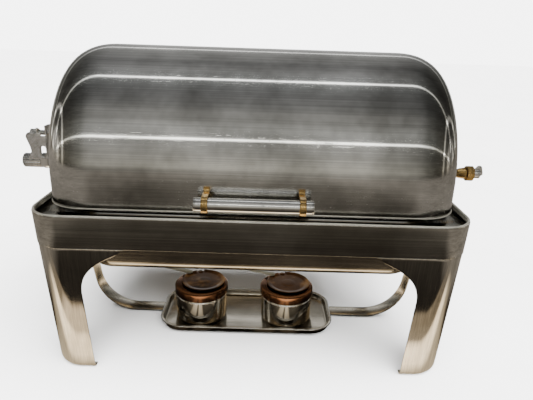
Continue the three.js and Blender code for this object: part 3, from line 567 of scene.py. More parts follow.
less_metal(PLATE_STEEL, 0.97)
BRASS = steel("brass", (0.66, 0.45, 0.18), (0.30, 0.19, 0.07), (0.08, 0.20), EVEN, 0.35, 0.05, 0.2,
              (0.16, 0.09, 0.04))
less_metal(BRASS, 0.985)
KNOB_STEEL = steel("knob_steel", (0.84, 0.83, 0.81), (0.36, 0.36, 0.35), (0.08, 0.2), EVEN, 0.3, 0.05, 0.2)
less_metal(KNOB_STEEL, 0.98)
LEVER_STEEL = steel("lever_steel", (0.62, 0.63, 0.56), (0.40, 0.41, 0.36), (0.35, 0.5), EVEN, 0.3, 0.05,
                    0.2)
less_metal(LEVER_STEEL, 0.6)
LID_STEEL = steel("heat_tinted_steel", (0.19, 0.10, 0.05), (0.035, 0.02, 0.013), (0.22, 0.40), EVEN, 0.3,
                  0.08, 0.3,
                  (0.52, 0.30, 0.11), 0.8)
SKIRT_STEEL = steel("lid_skirt_steel", (0.30, 0.15, 0.085), (0.10, 0.05, 0.03), (0.08, 0.18), EVEN, 0.2,
                    0.03, 0.2)
FUEL_TIN = steel("fuel_tin", (0.62, 0.62, 0.60), (0.5, 0.5, 0.48), (0.25, 0.4), (12, 12, 2), 0.2, 0.03, 0.1)


# ---------------------------------------------------------------- cover
def cover_sizes():
    low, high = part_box("cover_shell")
    half = (high[0] - low[0]) / 2
    radius = (high[1] - low[1]) / 2
    axis_z = high[2] - radius
    return half, radius, axis_z, low[2]


COVER_HALF, COVER_RADIUS, COVER_AXIS, COVER_BOTTOM = cover_sizes()
COVER_ROUND = 58 * MM
COVER_SHEET = 1.2 * MM


def cover_shell():
    deep, wide, power = 62 * MM, 76 * MM, 2 / 2.35  # a squarer curve than a circle, which starts gently
    flat = COVER_RADIUS - deep
    ends = [(COVER_HALF, flat * i / 6) for i in range(6)]
    ends += [(COVER_HALF - wide + wide * max(math.cos(t), 0) ** power, flat + deep * math.sin(t) ** power)
             for t in quarter(26)]
    sections = [(-x, r) for x, r in ends] + [(x, r) for x, r in reversed(ends)]
    rows = []
    for x, r in sections:
        row = [(x, MID_Y - r, COVER_BOTTOM + (COVER_AXIS - COVER_BOTTOM) * i / 3) for i in range(3)]
        row += [(x, MID_Y - r * math.cos(math.pi * i / 72),
                 COVER_AXIS + r * math.sin(math.pi * i / 72)) for i in range(73)]
        row += [(x, MID_Y + r, COVER_AXIS - (COVER_AXIS - COVER_BOTTOM) * i / 3) for i in range(1, 4)]
        rows.append(row)
    inside = Vector((0, MID_Y, COVER_BOTTOM))
    shell = facing_out(rings(rows, wrap=False),
                       lambda face: face.normal.dot(face.calc_center_median() - inside))
    shell = with_modifiers(shell, solidify(COVER_SHEET))
    rise = centre_of("lock_bolt").z - PIVOT.z
    opened = math.radians(next(j for j in frame["joints"] if j["name"] == "cover_roll")["range_deg"][1])
    through = 12 * MM
    bolt_hole, bush_hole = 5.1 * MM, 8.3 * MM
    turned_bolt = (-COVER_HALF, PIVOT.y - rise * math.sin(opened), PIVOT.z + rise * math.cos(opened))
    shell = cut_by(
        shell,
        (Vector((-COVER_HALF, PIVOT.y, PIVOT.z + rise)), "X", bolt_hole, through),
        (Vector(turned_bolt), "X", bolt_hole, through),
        (Vector((-COVER_HALF, PIVOT.y, PIVOT.z)), "X", bush_hole, through),
        (Vector((COVER_HALF, PIVOT.y, PIVOT.z)), "X", bush_hole, through))
    finished("cover_shell_skin", shell, COVER_STEEL, "cover", ["cover_shell"], 30)
    path = rounded_rectangle(COVER_HALF + 0.2 * MM, COVER_RADIUS + 0.2 * MM, COVER_ROUND,
                             COVER_BOTTOM + 1.2 * MM, (0, MID_Y), 24)
    hem = run_tree(BEAD, path_mesh(path, True), {"Radius": 1.0 * MM}, RIM_STEEL)
    finished("cover_hem", hem, RIM_STEEL, "cover", [])


def cover_bushes():
    for side, sign in SIDES:
        profile = [(5.4, -4), (11, -4), (11, -1.5), (8, -1.5), (8, 0.3), (13, 0.3), (13, 2.5), (5.4, 2.5)]
        loop = eased_loop([(r * MM, z * MM) for r, z in profile], 0.5 * MM)
        bush = moved(turned(loop), at(sign * COVER_HALF, PIVOT.y, PIVOT.z) @ along_x(sign))
        finished(f"bush_{side}", bush, BRASS, "cover", [f"cover_bush_{side}"])


# ---------------------------------------------------------------- handle
def handle():
    middle = centre_of("handle_tube")
    half = size_of("handle_tube").x / 2
    radius = size_of("handle_tube").z / 2
    place = Matrix.Translation(middle) @ along_x(1)
    wall = 1.5 * MM
    loop = eased_loop([(radius - wall, -half), (radius, -half), (radius, half), (radius - wall, half)],
                      0.5 * MM)
    finished("grip_tube", moved(turned(loop, 72), place), POLISHED, "cover", ["handle_tube"])
    for side, sign in SIDES:
        plug = radius - wall - 0.3 * MM
        outline = eased([(0, -9 * MM), (plug, -9 * MM), (plug, 0.3 * MM), (radius, 0.3 * MM),
                         (radius, 1.8 * MM), (radius - 2 * MM, 2.8 * MM), (0, 2.8 * MM)], 0.7 * MM)
        cap = moved(turned(outline, 72),
                    Matrix.Translation(middle + Vector((sign * half, 0, 0))) @ along_x(sign))
        finished(f"grip_cap_{side}", cap, POLISHED, "cover", [f"handle_cap_{side}"])
        handle_arm(side, middle, radius)


def handle_arm(side, tube, radius):
    """A brass strip that wraps the tube, runs back over it and turns up against the cover."""
    node_name = f"handle_arm_{side}"
    across = centre_of(node_name).x
    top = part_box(node_name)[1][2]
    sheet = 2 * MM
    bend = radius + 0.3 * MM + sheet / 2
    face = MID_Y - COVER_RADIUS - 0.4 * MM - sheet / 2
    wrap = [(across, tube.y + bend * math.cos(math.radians(a)), tube.z + bend * math.sin(math.radians(a)))
            for a in range(20, -271, -10)]
    corner = 4 * MM
    run = tube.z + bend
    tail = [(across, face - corner + corner * math.sin(t), run + corner - corner * math.cos(t))
            for t in quarter(6)]
    strip = path_mesh(wrap + tail + [(across, face, min(top, run + 7 * MM))])
    arm = run_tree(STRIP, strip, {"Width": 9 * MM, "Thickness": sheet, "Edge": 0.5 * MM}, BRASS)
    finished(f"grip_arm_{side}", arm, BRASS, "cover", [node_name])


# ---------------------------------------------------------------- stand
def band():
    top, bottom = RIM_Z, BAND_BOTTOM
    profile = [(lean_at(bottom), bottom), (lean_at(top - 2 * MM), top - 2 * MM), (1.2 * MM, top),
               (5 * MM, top), (5 * MM, top - SHEET), (SHEET + 1 * MM, top - SHEET),
               (SHEET + lean_at(bottom), bottom)]
    loop = eased_loop(profile, 1.2 * MM, 4)
    wall = swept_rim(HALF_LENGTH, HALF_DEPTH, CORNER, loop, (0, MID_Y), 20)
    finished("band_wall", wall, FRAME_STEEL, "frame", ["frame_band"], 40)
    path = rounded_rectangle(HALF_LENGTH - 2.2 * MM, HALF_DEPTH - 2.2 * MM, CORNER - 2 * MM, top - 0.6 * MM,
                             (0, MID_Y), 20)
    bead = run_tree(BEAD, path_mesh(path, True), {"Radius": 1.6 * MM}, RIM_STEEL)
    finished("band_rim_bead", bead, RIM_STEEL, "frame", [])


KNEE_Z = 137 * MM


def bezier(a, b, c, d, t):
    s = 1 - t
    return a * s ** 3 + 3 * b * s * s * t + 3 * c * s * t * t + d * t ** 3


def leg(side, end, sign_x, sign_y):
    """Rounded sheet whose two inner edges run up to a knee and sweep out into gussets under the band."""
    name = f"leg_{end}_{side}"
    low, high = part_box(name)
    top = high[2]
    tip_cut = 6 * MM
    tip_x = min(abs(low[0]), abs(high[0])) - tip_cut
    tip_y = min(abs(low[1] - MID_Y), abs(high[1] - MID_Y)) - tip_cut
    levels = []
    turn = 8 * MM
    foot_lip = 5 * MM
    foot_x, foot_y, taper = 240.5 * MM, 139.5 * MM, 6.5 * MM
    knee_x, knee_y = foot_x + taper, foot_y + taper
    for angle in quarter(8):
        levels.append((turn * (1 - math.sin(angle)), turn * (1 - math.cos(angle)), foot_x, foot_y))
    levels.insert(0, (turn + foot_lip, 0, foot_x, foot_y))
    for i in range(1, 9):
        z = turn + (KNEE_Z - turn) * i / 8
        levels.append((0, z, foot_x + taper * i / 8, foot_y + taper * i / 8))
    under = BAND_BOTTOM - 4 * MM
    rise = (under - KNEE_Z) * 0.55
    for i in range(1, 17):
        t = i / 16
        z = bezier(KNEE_Z, KNEE_Z + rise, under - 16 * MM, under, t)
        x = bezier(knee_x, knee_x, tip_x + (knee_x - tip_x) * 0.57, tip_x, t)
        y = bezier(knee_y, knee_y, tip_y + (knee_y - tip_y) * 0.57, tip_y, t)
        inward = tip_cut * max(t - 0.9, 0) * 10
        levels.append((0, z, x + inward, y + inward))
    levels.append((0, top, tip_x + tip_cut, tip_y + tip_cut))
    rows = []
    for inset, z, edge_x, edge_y in levels:
        wall_x = HALF_LENGTH - lean_at(z) - inset
        wall_y = HALF_DEPTH - lean_at(z) - inset
        corner = CORNER - inset
        row = [(edge_x + (wall_x - corner - edge_x) * k / 10, wall_y) for k in range(10)]
        row += [(wall_x - corner + corner * math.sin(t), wall_y - corner + corner * math.cos(t))
                for t in quarter(14)]
        row += [(wall_x, wall_y - corner + (edge_y - wall_y + corner) * k / 10) for k in range(1, 11)]
        rows.append([(sign_x * x, MID_Y + sign_y * y, z) for x, y in row])
    sheet = facing_out(rings(rows, wrap=False),
                       lambda face: face.normal.x * sign_x + face.normal.y * sign_y)
    sheet = with_modifiers(sheet, solidify(SHEET), bevel(0.35 * MM, 2, 60))
    finished(f"{name}_sheet", sheet, LEG_STEEL, "frame", [name], 40)


def seams():
    """The band's lower edge catches the light where it laps over each leg's sheet."""
    z = BAND_BOTTOM
    half_x, half_y = HALF_LENGTH - lean_at(z) + 0.2 * MM, HALF_DEPTH - lean_at(z) + 0.2 * MM
    reach_x, reach_y = 181 * MM, 104 * MM
    outline = rounded_rectangle(half_x, half_y, CORNER, z, (0, MID_Y), 12)
    for side_x in (-1, 1):
        for side_y in (-1, 1):
            points = [p for p in outline if side_x * p[0] > reach_x and side_y * (p[1] - MID_Y) > reach_y]
            first = (side_x * reach_x, MID_Y + side_y * half_y, z)
            last = (side_x * half_x, MID_Y + side_y * reach_y, z)
            near = sorted(points, key=lambda p: abs(p[0] - first[0]))
            bead = run_tree(BEAD, path_mesh([first] + near + [last]), {"Radius": 0.5 * MM}, FRAME_STEEL)
            name = f"band_seam_{'left' if side_x < 0 else 'right'}_{'front' if side_y < 0 else 'rear'}"
            finished(name, bead, FRAME_STEEL, "frame", [])


def burner_strap():
    low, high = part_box("burner_strap")
    sheet = 3 * MM
    top_x, top = high[0], high[2]
    bend, lean = 75 * MM, 27 * MM
    y = (low[1] + high[1]) / 2
    bend_x = top_x - lean - bend
    middle_z = low[2] + bend
    centre = bend - sheet / 2
    start = math.atan2(lean, top - middle_z) / 2
    side = [(bend_x + centre * math.cos(a), middle_z - centre * math.sin(a))
            for a in (start + (math.pi / 2 - start) * i / 24 for i in range(25))]
    right = [(top_x - sheet / 2, top)] + side
    points = [(x, y, z) for x, z in right] + [(-x, y, z) for x, z in reversed(right)]
    strap = run_tree(STRIP, path_mesh(points),
                     {"Width": high[1] - low[1], "Thickness": sheet, "Edge": 0.7 * MM}, PAN_STEEL)
    finished("burner_strap_strip", strap, PAN_STEEL, "frame", ["burner_strap"])


def fastener_rows():
    """Rivets that hold the strap and screws that hold the end brackets, two of each at each end."""
    rivet = eased([(0, -14), (3.5, -14), (3.5, -11.5), (2.5, -11.5), (2.5, 0.4), (4.5, 0.4), (4.0, 1.6),
                   (2.2, 2.5), (0, 2.7)], 0.5)
    screw = eased([(0, -12), (2.2, -12), (2.2, 0.3), (4.5, 0.3), (4.5, 1.6), (3.4, 2.8), (0, 3.0)], 0.5)
    for family, profile in (("strap_rivet", rivet), ("bracket_screw", screw)):
        for side, sign in SIDES:
            nodes = [f"{family}_{side}_front", f"{family}_{side}_rear"]
            first, second = (centre_of(n) for n in nodes)
            head = turned([(r * MM, z * MM) for r, z in profile], 32)
            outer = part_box(nodes[0])[1 if sign > 0 else 0][0]
            reach = max(z for _, z in profile) * MM
            base = at(outer - sign * reach, first.y, first.z) @ along_x(sign)
            row = run_tree(ROW, moved(head, base), {"Count": 2, "Step": second - first}, POLISHED)
            finished(f"{family}s_{side}", row, POLISHED, "frame", nodes)


# ---------------------------------------------------------------- pans and their carrier
def pan_shell(name, body, node_name, material, body_inset, floor_round):
    low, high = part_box(node_name)
    half_x, half_y = (high[0] - low[0]) / 2, (high[1] - low[1]) / 2
    middle = ((low[0] + high[0]) / 2, (low[1] + high[1]) / 2)
    top, floor = high[2], low[2]
    lip, wall, draft = 1.2 * MM, 1.2 * MM, 5 * MM
    corner = 45 * MM

    def level(inset, z, radius):
        return rounded_rectangle(half_x - inset, half_y - inset, max(radius, 4 * MM), z, middle)

    def floor_bend(inset, z, radius):
        return [level(inset + draft + radius * (1 - math.cos(t)), z + radius * (1 - math.sin(t)),
                      corner - inset - radius * (1 - math.cos(t)) * 0.6) for t in quarter(8)]

    rows = [level(0.2 * MM, top - lip, corner), level(0, top - lip / 2, corner),
            level(0.4 * MM, top, corner)]
    rows += [level(body_inset - 1 * MM, top, corner - body_inset)]
    inner = body_inset + wall
    rows += [level(inner + 0.3 * MM, top - 1.5 * MM, corner - inner)]
    rows += floor_bend(inner, floor + wall, floor_round - wall)
    outside = floor_bend(body_inset, floor, floor_round)[::-1]
    outside.append(level(body_inset + 0.3 * MM, top - lip, corner - body_inset))
    finished(name, rings(outside + rows, cap_start=True, cap_end=True), material, body, [node_name],
             40)


def carrier():
    """The shelf inside the band, wide at the front, with the pan opening and an upright ear at each end."""
    low, high = corners("pan_carrier")
    pan_low, pan_high = corners("water_pan")
    sheet = 2 * MM
    shelf_bottom = low.z
    ear_x = centre_of("stud_nut_right").x + size_of("stud_nut_right").x / 2 + 0.3 * MM + sheet
    wide_back = MID_Y - HALF_DEPTH + 150 * MM
    front, half_x = low.y, high.x
    corner = CORNER - 2 * MM
    outline = [(half_x, wide_back), (ear_x, wide_back), (ear_x, high.y), (-ear_x, high.y),
               (-ear_x, wide_back), (-half_x, wide_back)]
    outline += arc(-half_x + corner, front + corner, corner, 180, 270)
    outline += arc(half_x - corner, front + corner, corner, 270, 360)
    lip = 8.2 * MM
    middle = (0, (pan_low.y + pan_high.y) / 2)
    opening = [(x, y) for x, y, _ in rounded_rectangle(
        pan_high.x - lip, (pan_high.y - pan_low.y) / 2 - lip, 37 * MM, 0, middle, 8)]
    shelf = flat_plate([outline, opening], sheet, at(0, 0, shelf_bottom))
    parts = [shelf]
    half = 15 * MM
    ear = [(-half, shelf_bottom + sheet * 0.9), (half, shelf_bottom + sheet * 0.9)]
    ear += arc(0, PIVOT.z, half, 0, 180, 20)
    hole = arc(0, PIVOT.z, STUD_HOLE, 0, 345, 23)
    for sign in (-1, 1):
        start = ear_x - sheet if sign > 0 else -ear_x
        parts.append(flat_plate([ear, hole], sheet, at(start, PIVOT.y, 0) @ STAND_ACROSS))
    finished("carrier_shelf", join_meshes(parts), FRAME_STEEL, "frame", ["pan_carrier"])


# ---------------------------------------------------------------- pivot hardware
def along(node_name, sign):
    """Where a piece starts along X, coming from the object's middle, and how long it is."""
    low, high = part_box(node_name)
    return low[0] if sign > 0 else high[0], high[0] - low[0]


def hex_profile(radius, steps=6):
    turns = [TURN * k / steps for k in range(steps)]
    return [(radius * math.cos(t), radius * math.sin(t)) for t in turns]


def hex_nut(name, node_name, material, sign, radius):
    start, length = along(node_name, sign)
    bore = arc(0, 0, STUD_HOLE, 0, 345, 23)
    nut = flat_plate([hex_profile(radius), bore], length, at(start, PIVOT.y, PIVOT.z) @ along_x(sign),
                     0.8 * MM)
    finished(name, nut, material, "frame", [node_name])


def tapered_nut(name, node_name, material, sign, radius):
    """A hexagonal nut, narrower and rounded at the end that faces the object."""
    start, length = along(node_name, sign)
    shape = [(0.0, 0.60), (0.06, 0.70), (0.30, 0.86), (0.70, 0.97), (0.94, 1.0), (1.0, 0.95)]
    rows = [[(x * r * radius, y * r * radius, length * share) for x, y in hex_profile(1)]
            for share, r in shape]
    bore = [[(x, y, length * share) for x, y in hex_profile(STUD_HOLE)] for share in (1.0, 0.0)]
    nut = with_modifiers(rings(rows + bore, loop=True), bevel(0.6 * MM, 2, 25))
    finished(name, moved(nut, at(start, PIVOT.y, PIVOT.z) @ along_x(sign)), material, "frame", [node_name])


def fluted(name, node_name, material, body, sign, radius, bore, flutes, depth, axis_z):
    start, length = along(node_name, sign)
    steps = max(6, round(length / (1.5 * MM)))
    outside = [(radius, length * i / steps) for i in range(steps + 1)]
    profile = eased_loop([(bore, 0)] + [outside[0]] + [outside[-1]] + [(bore, length)], 0.9 * MM, 4)
    knob = run_tree(FLUTES, turned(profile, 160),
                    {"Flutes": float(flutes), "Depth": depth, "Inside": radius * 0.9}, material)
    finished(name, moved(knob, at(start, PIVOT.y, axis_z) @ along_x(sign)), material, body, [node_name])


def rod_piece(name, node_name, body, radius, material=None, chamfer=0.8 * MM):
    low, high = corners(node_name)
    middle = (low + high) / 2
    profile = eased([(0, low.x), (radius, low.x), (radius, high.x), (0, high.x)], chamfer)
    rod = moved(turned(profile, 48), at(0, middle.y, middle.z) @ along_x(1))
    finished(name, rod, material or POLISHED, body, [node_name])


def pivots():
    for side, sign in SIDES:
        rod_piece(f"stud_{side}", f"pivot_stud_{side}", "frame", STUD_RADIUS)
        hex_nut(f"inner_nut_{side}", f"stud_nut_{side}", POLISHED, sign, 9 * MM)
        low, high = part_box(f"pivot_sleeve_{side}")
        outside = 7.5 * MM
        loop = [(STUD_HOLE, low[0]), (outside, low[0]), (outside, high[0]), (STUD_HOLE, high[0])]
        sleeve = moved(turned(eased_loop(loop, 0.5 * MM), 48), at(0, PIVOT.y, PIVOT.z) @ along_x(1))
        finished(f"sleeve_{side}", sleeve, POLISHED, "frame", [f"pivot_sleeve_{side}"])
        end_bracket(side)
    tapered_nut("clamp_nut", "brass_hex_nut", BRASS, 1, 10.9 * MM)
    hex_nut("lock_plate_nut", "lock_nut", POLISHED, -1, 14 * MM)
    fluted("clamp_collar", "brass_collar", BRASS, "frame", 1, 13.2 * MM, STUD_HOLE, 22, 0.35 * MM,
           PIVOT.z)
    fluted("stud_knob", "end_knob", KNOB_STEEL, "end_knob", -1, 12 * MM, STUD_HOLE, 18,
           0.5 * MM, PIVOT.z)
    bolt_z = centre_of("lock_bolt").z
    rod_piece("bolt_rod", "lock_bolt", "lock_bolt", BOLT_RADIUS)
    fluted("bolt_grip", "bolt_knob", KNOB_STEEL, "lock_bolt", -1, 6.2 * MM, BOLT_HOLE, 16,
           0.3 * MM, bolt_z)
    wing_lever()
    lock_bracket()


def end_bracket(side):
    name = f"end_bracket_{side}"
    low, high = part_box(name)
    half = (high[1] - low[1]) / 2
    outline = [(-half, low[2]), (half, low[2]), (half, RIM_Z)]
    outline += arc(0, PIVOT.z, high[2] - PIVOT.z, 0, 180, 24) + [(-half, RIM_Z)]
    bore = arc(0, PIVOT.z, STUD_HOLE, 0, 345, 23)
    sheet = high[0] - low[0]
    plate = flat_plate([outline, bore], sheet, at(low[0], PIVOT.y, 0) @ STAND_ACROSS, 0.5 * MM)
    finished(f"bracket_{side}", plate, FRAME_STEEL, "frame", [name])


def wing_lever():
    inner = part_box("clamp_lever")[0][0]
    hub, length, thick = 8.5 * MM, 12 * MM, 4 * MM
    turned_hub = turned(eased([(0, 0), (hub, 0), (hub, length), (0, length)], 1.6 * MM), 48)
    hub_mesh = moved(turned_hub, at(inner, PIVOT.y, PIVOT.z) @ along_x(1))
    blade = [(2 * MM, -5 * MM), (14 * MM, -5 * MM), (18.6 * MM, -1.5 * MM), (18 * MM, 3 * MM),
             (16.5 * MM, 8 * MM)]
    blade += arc(10.5 * MM, 9.5 * MM, 5.5 * MM, 20, 150, 12) + [(3 * MM, 9 * MM)]
    wing = flat_plate([blade], thick, at(inner, PIVOT.y + thick / 2, PIVOT.z) @ STAND_UP, 1.2 * MM)
    finished("wing_lever", join_meshes([hub_mesh, wing]), POLISHED, "clamp_lever", ["clamp_lever"])


def lock_bracket():
    low, high = corners("lock_bracket")
    sheet = 3 * MM
    half = (high.y - low.y) / 2
    bolt_z = centre_of("lock_bolt").z
    outline = [(-half, low.z), (half, low.z)] + arc(0, bolt_z, half, 0, 90, 12) + [(-half, high.z)]
    holes = [arc(0, PIVOT.z, STUD_HOLE, 0, 345, 23), arc(0, bolt_z, BOLT_HOLE, 0, 345, 23)]
    upright = flat_plate([outline] + holes, sheet, at(high.x - sheet, PIVOT.y, 0) @ STAND_ACROSS, 0.5 * MM)
    inner = high.x - sheet
    foot = PIVOT.z + 6.5 * MM
    edge, shoulder = inner + sheet * 0.8, bolt_z - 3 * MM
    lobe_x, lobe_z = low.x + 8.5 * MM, bolt_z - 5 * MM
    flange = [(edge, foot), (edge, shoulder), (inner - 8 * MM, shoulder), (inner - 8 * MM, bolt_z + 3 * MM)]
    flange += [(inner - 17 * MM, bolt_z + 3 * MM)] + arc(lobe_x, lobe_z, 8.2 * MM, 40, 205, 16)
    flange += [(low.x + 6 * MM, PIVOT.z + 27 * MM), (low.x + 7 * MM, PIVOT.z + 20 * MM),
               (low.x + 3 * MM, PIVOT.z + 11 * MM)]
    flange += [(low.x + 1 * MM, foot)]
    slot_x, slot_z = inner - 5.6 * MM, PIVOT.z + 20 * MM
    slot = arc(slot_x, slot_z + 5 * MM, 4.2 * MM, 0, 180) + arc(slot_x, slot_z - 6 * MM, 4.2 * MM, 180, 360)
    front = flat_plate([flange, slot], sheet, at(0, low.y + sheet, 0) @ STAND_UP, 0.5 * MM)
    finished("lock_plate", join_meshes([upright, front]), PLATE_STEEL, "frame", ["lock_bracket"])
    low, high = corners("bracket_top_screw")
    middle = (low + high) / 2
    head = eased([(0, 0), (1.6 * MM, 0), (1.6 * MM, 5 * MM), (2.9 * MM, 5.6 * MM), (2.9 * MM, 7 * MM),
                  (2 * MM, 8.6 * MM), (0, 8.9 * MM)], 0.5 * MM)
    screw = moved(turned(head, 32), at(middle.x, middle.y, low.z))
    finished("lock_plate_screw", screw, POLISHED, "frame", ["bracket_top_screw"])


# ---------------------------------------------------------------- burners
def burner_tray():
    low, high = corners("burner_tray")
    middle = ((low.x + high.x) / 2, (low.y + high.y) / 2)
    half_x, half_y = (high.x - low.x) / 2, (high.y - low.y) / 2
    top, floor = high.z, low.z
    sheet = 1.2 * MM
    corner = 42 * MM

    def level(inset, z):
        return rounded_rectangle(half_x - inset, half_y - inset, corner - inset, z, middle, 18)

    inner = [level(4 * MM + sheet, top - 0.3 * MM), level(4.6 * MM + sheet, top - 3 * MM),
             level(5.2 * MM + sheet, floor + 4 * MM),
             level(6.5 * MM + sheet, floor + 2 * MM), level(9.5 * MM, floor + sheet)]
    outer = [level(8 * MM, floor), level(5.4 * MM, floor + 1.2 * MM), level(4.4 * MM, floor + 4 * MM),
             level(3.6 * MM, top - 2 * MM)]
    rim = [level(0.8 * MM, top - 1.6 * MM), level(0, top - 0.9 * MM), level(0.6 * MM, top),
           level(2.2 * MM, top), level(3.4 * MM, top - 0.5 * MM)]
    rows = inner[::-1] + rim[::-1] + outer[::-1]
    shell = rings(rows, cap_start=True, cap_end=True)
    finished("tray_shell", shell, PAN_STEEL, "burner_tray", ["burner_tray"], 50)
    path = rounded_rectangle(half_x - 1 * MM, half_y - 1 * MM, corner - 1 * MM, top - 0.8 * MM, middle, 18)
    bead = run_tree(BEAD, path_mesh(path, True), {"Radius": 1.1 * MM}, POLISHED)
    finished("tray_bead", bead, POLISHED, "burner_tray", [])


def burner(side):
    cup = f"burner_cup_{side}"
    middle = centre_of(cup)
    low, high = corners(cup)
    radius, wall = CUP_RADIUS, CUP_WALL
    place = at(middle.x, middle.y, 0)
    base, brim = low.z, high.z
    profile = eased([(0, base), (radius - 4 * MM, base), (radius, base + 5 * MM), (radius, brim - 16 * MM),
                     (radius - 0.8 * MM, brim - 15 * MM), (radius - 0.8 * MM, brim - 14.2 * MM),
                     (radius, brim - 13.4 * MM), (radius, brim), (radius - wall, brim),
                     (radius - wall, base + 5 * MM), (radius - 5 * MM, base + wall), (0, base + wall)],
                    2.2 * MM, 5)
    finished(f"cup_{side}", moved(turned(profile, 96), place), POLISHED, f"burner_{side}", [cup])
    low, high = corners(f"fuel_can_{side}")
    can = FUEL_RADIUS
    rows = eased([(0, low.z + 1.5 * MM), (can - 4 * MM, low.z + 1.5 * MM), (can - 3 * MM, low.z),
                  (can, low.z), (can, high.z - 2 * MM), (can - 2 * MM, high.z), (can - 4 * MM, high.z),
                  (can - 5 * MM, high.z - 2 * MM), (FUEL_MOUTH, high.z - 2 * MM),
                  (FUEL_MOUTH, high.z - 5 * MM), (0, high.z - 5 * MM)], 0.8 * MM)
    finished(f"fuel_tin_{side}", moved(turned(rows, 64), place), FUEL_TIN, f"burner_{side}",
             [f"fuel_can_{side}"])
    burner_lid(side, place)


def burner_lid(side, place):
    name = f"burner_lid_{side}"
    low, high = corners(name)
    outer, flame, sheet = LID_RADIUS, FLAME_RADIUS, CUP_WALL
    top, skirt = high.z, low.z
    loop = eased_loop([(flame, top - sheet), (outer - sheet, top - sheet), (outer - sheet, skirt),
                       (outer, skirt), (outer, top - 1 * MM), (outer - 1.5 * MM, top), (flame, top)],
                      0.9 * MM, 4)
    ring = moved(turned(loop, 96), place)
    rivet = centre_of(f"shutter_rivet_{side}")
    ring = cut_by(ring, (Vector((rivet.x, rivet.y, top)), "Z", PIN_HOLE, 6 * MM))
    finished(f"lid_{side}", ring, SKIRT_STEEL, f"burner_lid_{side}", [name])
    low, high = corners(f"shutter_rivet_{side}")
    shank, foot = 2.4 * MM, 4.5 * MM
    head = high.z - 1.6 * MM
    profile = eased([(0, low.z), (foot, low.z), (foot, low.z + 1.2 * MM), (shank, low.z + 1.2 * MM),
                     (shank, head), (5 * MM, head), (4 * MM, head + 1.2 * MM), (0, high.z)], 0.4 * MM)
    pin = moved(turned(profile, 32), at(rivet.x, rivet.y, 0))
    finished(f"shutter_pin_{side}", pin, LID_STEEL, f"burner_lid_{side}", [f"shutter_rivet_{side}"])
    shutter(side, rivet)


def shutter(side, rivet):
    low, high = corners(f"shutter_{side}")
    middle = (low + high) / 2
    radius = (high.x - low.x) / 2
    sheet = 1.5 * MM
    dish = high.z - low.z - sheet
    profile = eased([(0, low.z), (radius - 7 * MM, low.z), (radius - 3.5 * MM, low.z + dish * 0.6),
                     (radius - 0.3 * MM, low.z + dish), (radius, high.z - 0.3 * MM),
                     (radius - 0.6 * MM, high.z), (radius - 3.5 * MM, high.z - 0.3 * MM),
                     (radius - 9 * MM, low.z + sheet), (14 * MM, low.z + sheet),
                     (9 * MM, low.z + sheet + 0.4 * MM), (0, low.z + sheet + 0.5 * MM)], 1.2 * MM, 4)
    disc = moved(turned(profile, 96), at(middle.x, middle.y, 0))
    top = Vector((rivet.x, rivet.y, low.z + sheet + 5 * MM))
    disc = cut_by(disc, (top, "Z", 8 * MM, 10 * MM),
                  (Vector((rivet.x, rivet.y, low.z)), "Z", PIN_HOLE, 10 * MM))
    finished(f"shutter_disc_{side}", disc, LID_STEEL, f"shutter_{side}", [f"shutter_{side}"])
    low, high = corners(f"shutter_lever_{side}")
    half, reach = 6.5 * MM, 61 * MM
    turn = math.radians(157)
    cup = centre_of(f"burner_cup_{side}")
    start = Vector((cup.x - 27 * MM, cup.y + 30.5 * MM, low.z))
    outline = arc(0, 0, half, 270, 90, 14) + arc(reach, 0, half, 90, -90, 14)
    lever = flat_plate([outline], high.z - low.z, Matrix.Translation(start) @ Matrix.Rotation(turn, 4, "Z"),
                       0.3 * MM)
    finished(f"shutter_handle_{side}", lever, LEVER_STEEL, f"shutter_{side}", [f"shutter_lever_{side}"])


# ---------------------------------------------------------------- stage, light and camera
def flat_card(name, low, high, z, material, seen=False):
    mesh = mesh_of([(low[0], low[1], z), (high[0], low[1], z), (high[0], high[1], z), (low[0], high[1], z)],
                   [(0, 1, 2, 3)], name)
    card = linked(name, mesh)
    mesh.materials.append(material)
    if not seen:
        card.visible_camera = False
        card.visible_diffuse = False
        card.visible_shadow = False
    return card


def stage():
    floor, tree, surface = shader("pale_floor")
    place = node(tree, "ShaderNodeTexCoord").outputs["Object"]
    tone = ramp(tree, grain(tree, place, (1, 1, 1), 3, 3), [(0.3, grey(0.80)), (0.7, grey(0.84))])
    tree.links.new(tone, surface.inputs["Base Color"])
    surface.inputs["Roughness"].default_value = 0.8
    surface.inputs["Specular IOR Level"].default_value = 0.1
    card = flat_card("floor", (-9, -9), (9, 9), 0, floor, True)
    card.visible_glossy = False
    painted_reflection_card()


# Painted reflection colours by distance along Y in metres: painted shadow of the object close under it, then
# the table top, then the room's floor past its front edge.
TABLE_EDGE = -0.352
TABLE_REFLECTION_AND_SHADOW = [(-0.115, (0.10, 0.078, 0.055)), (-0.150, (0.85, 0.70, 0.48)), (-0.20, (1.45, 1.20, 0.85)),
           (TABLE_EDGE + 0.003, (1.42, 1.13, 0.78)), (TABLE_EDGE - 0.003, (0.030, 0.026, 0.022)),
           (-0.56, (0.060, 0.053, 0.043)), (-0.71, (0.10, 0.09, 0.073)), (-0.82, (0.13, 0.115, 0.095)),
           (-1.4, (0.20, 0.18, 0.15)), (-3.0, (0.32, 0.30, 0.26))]
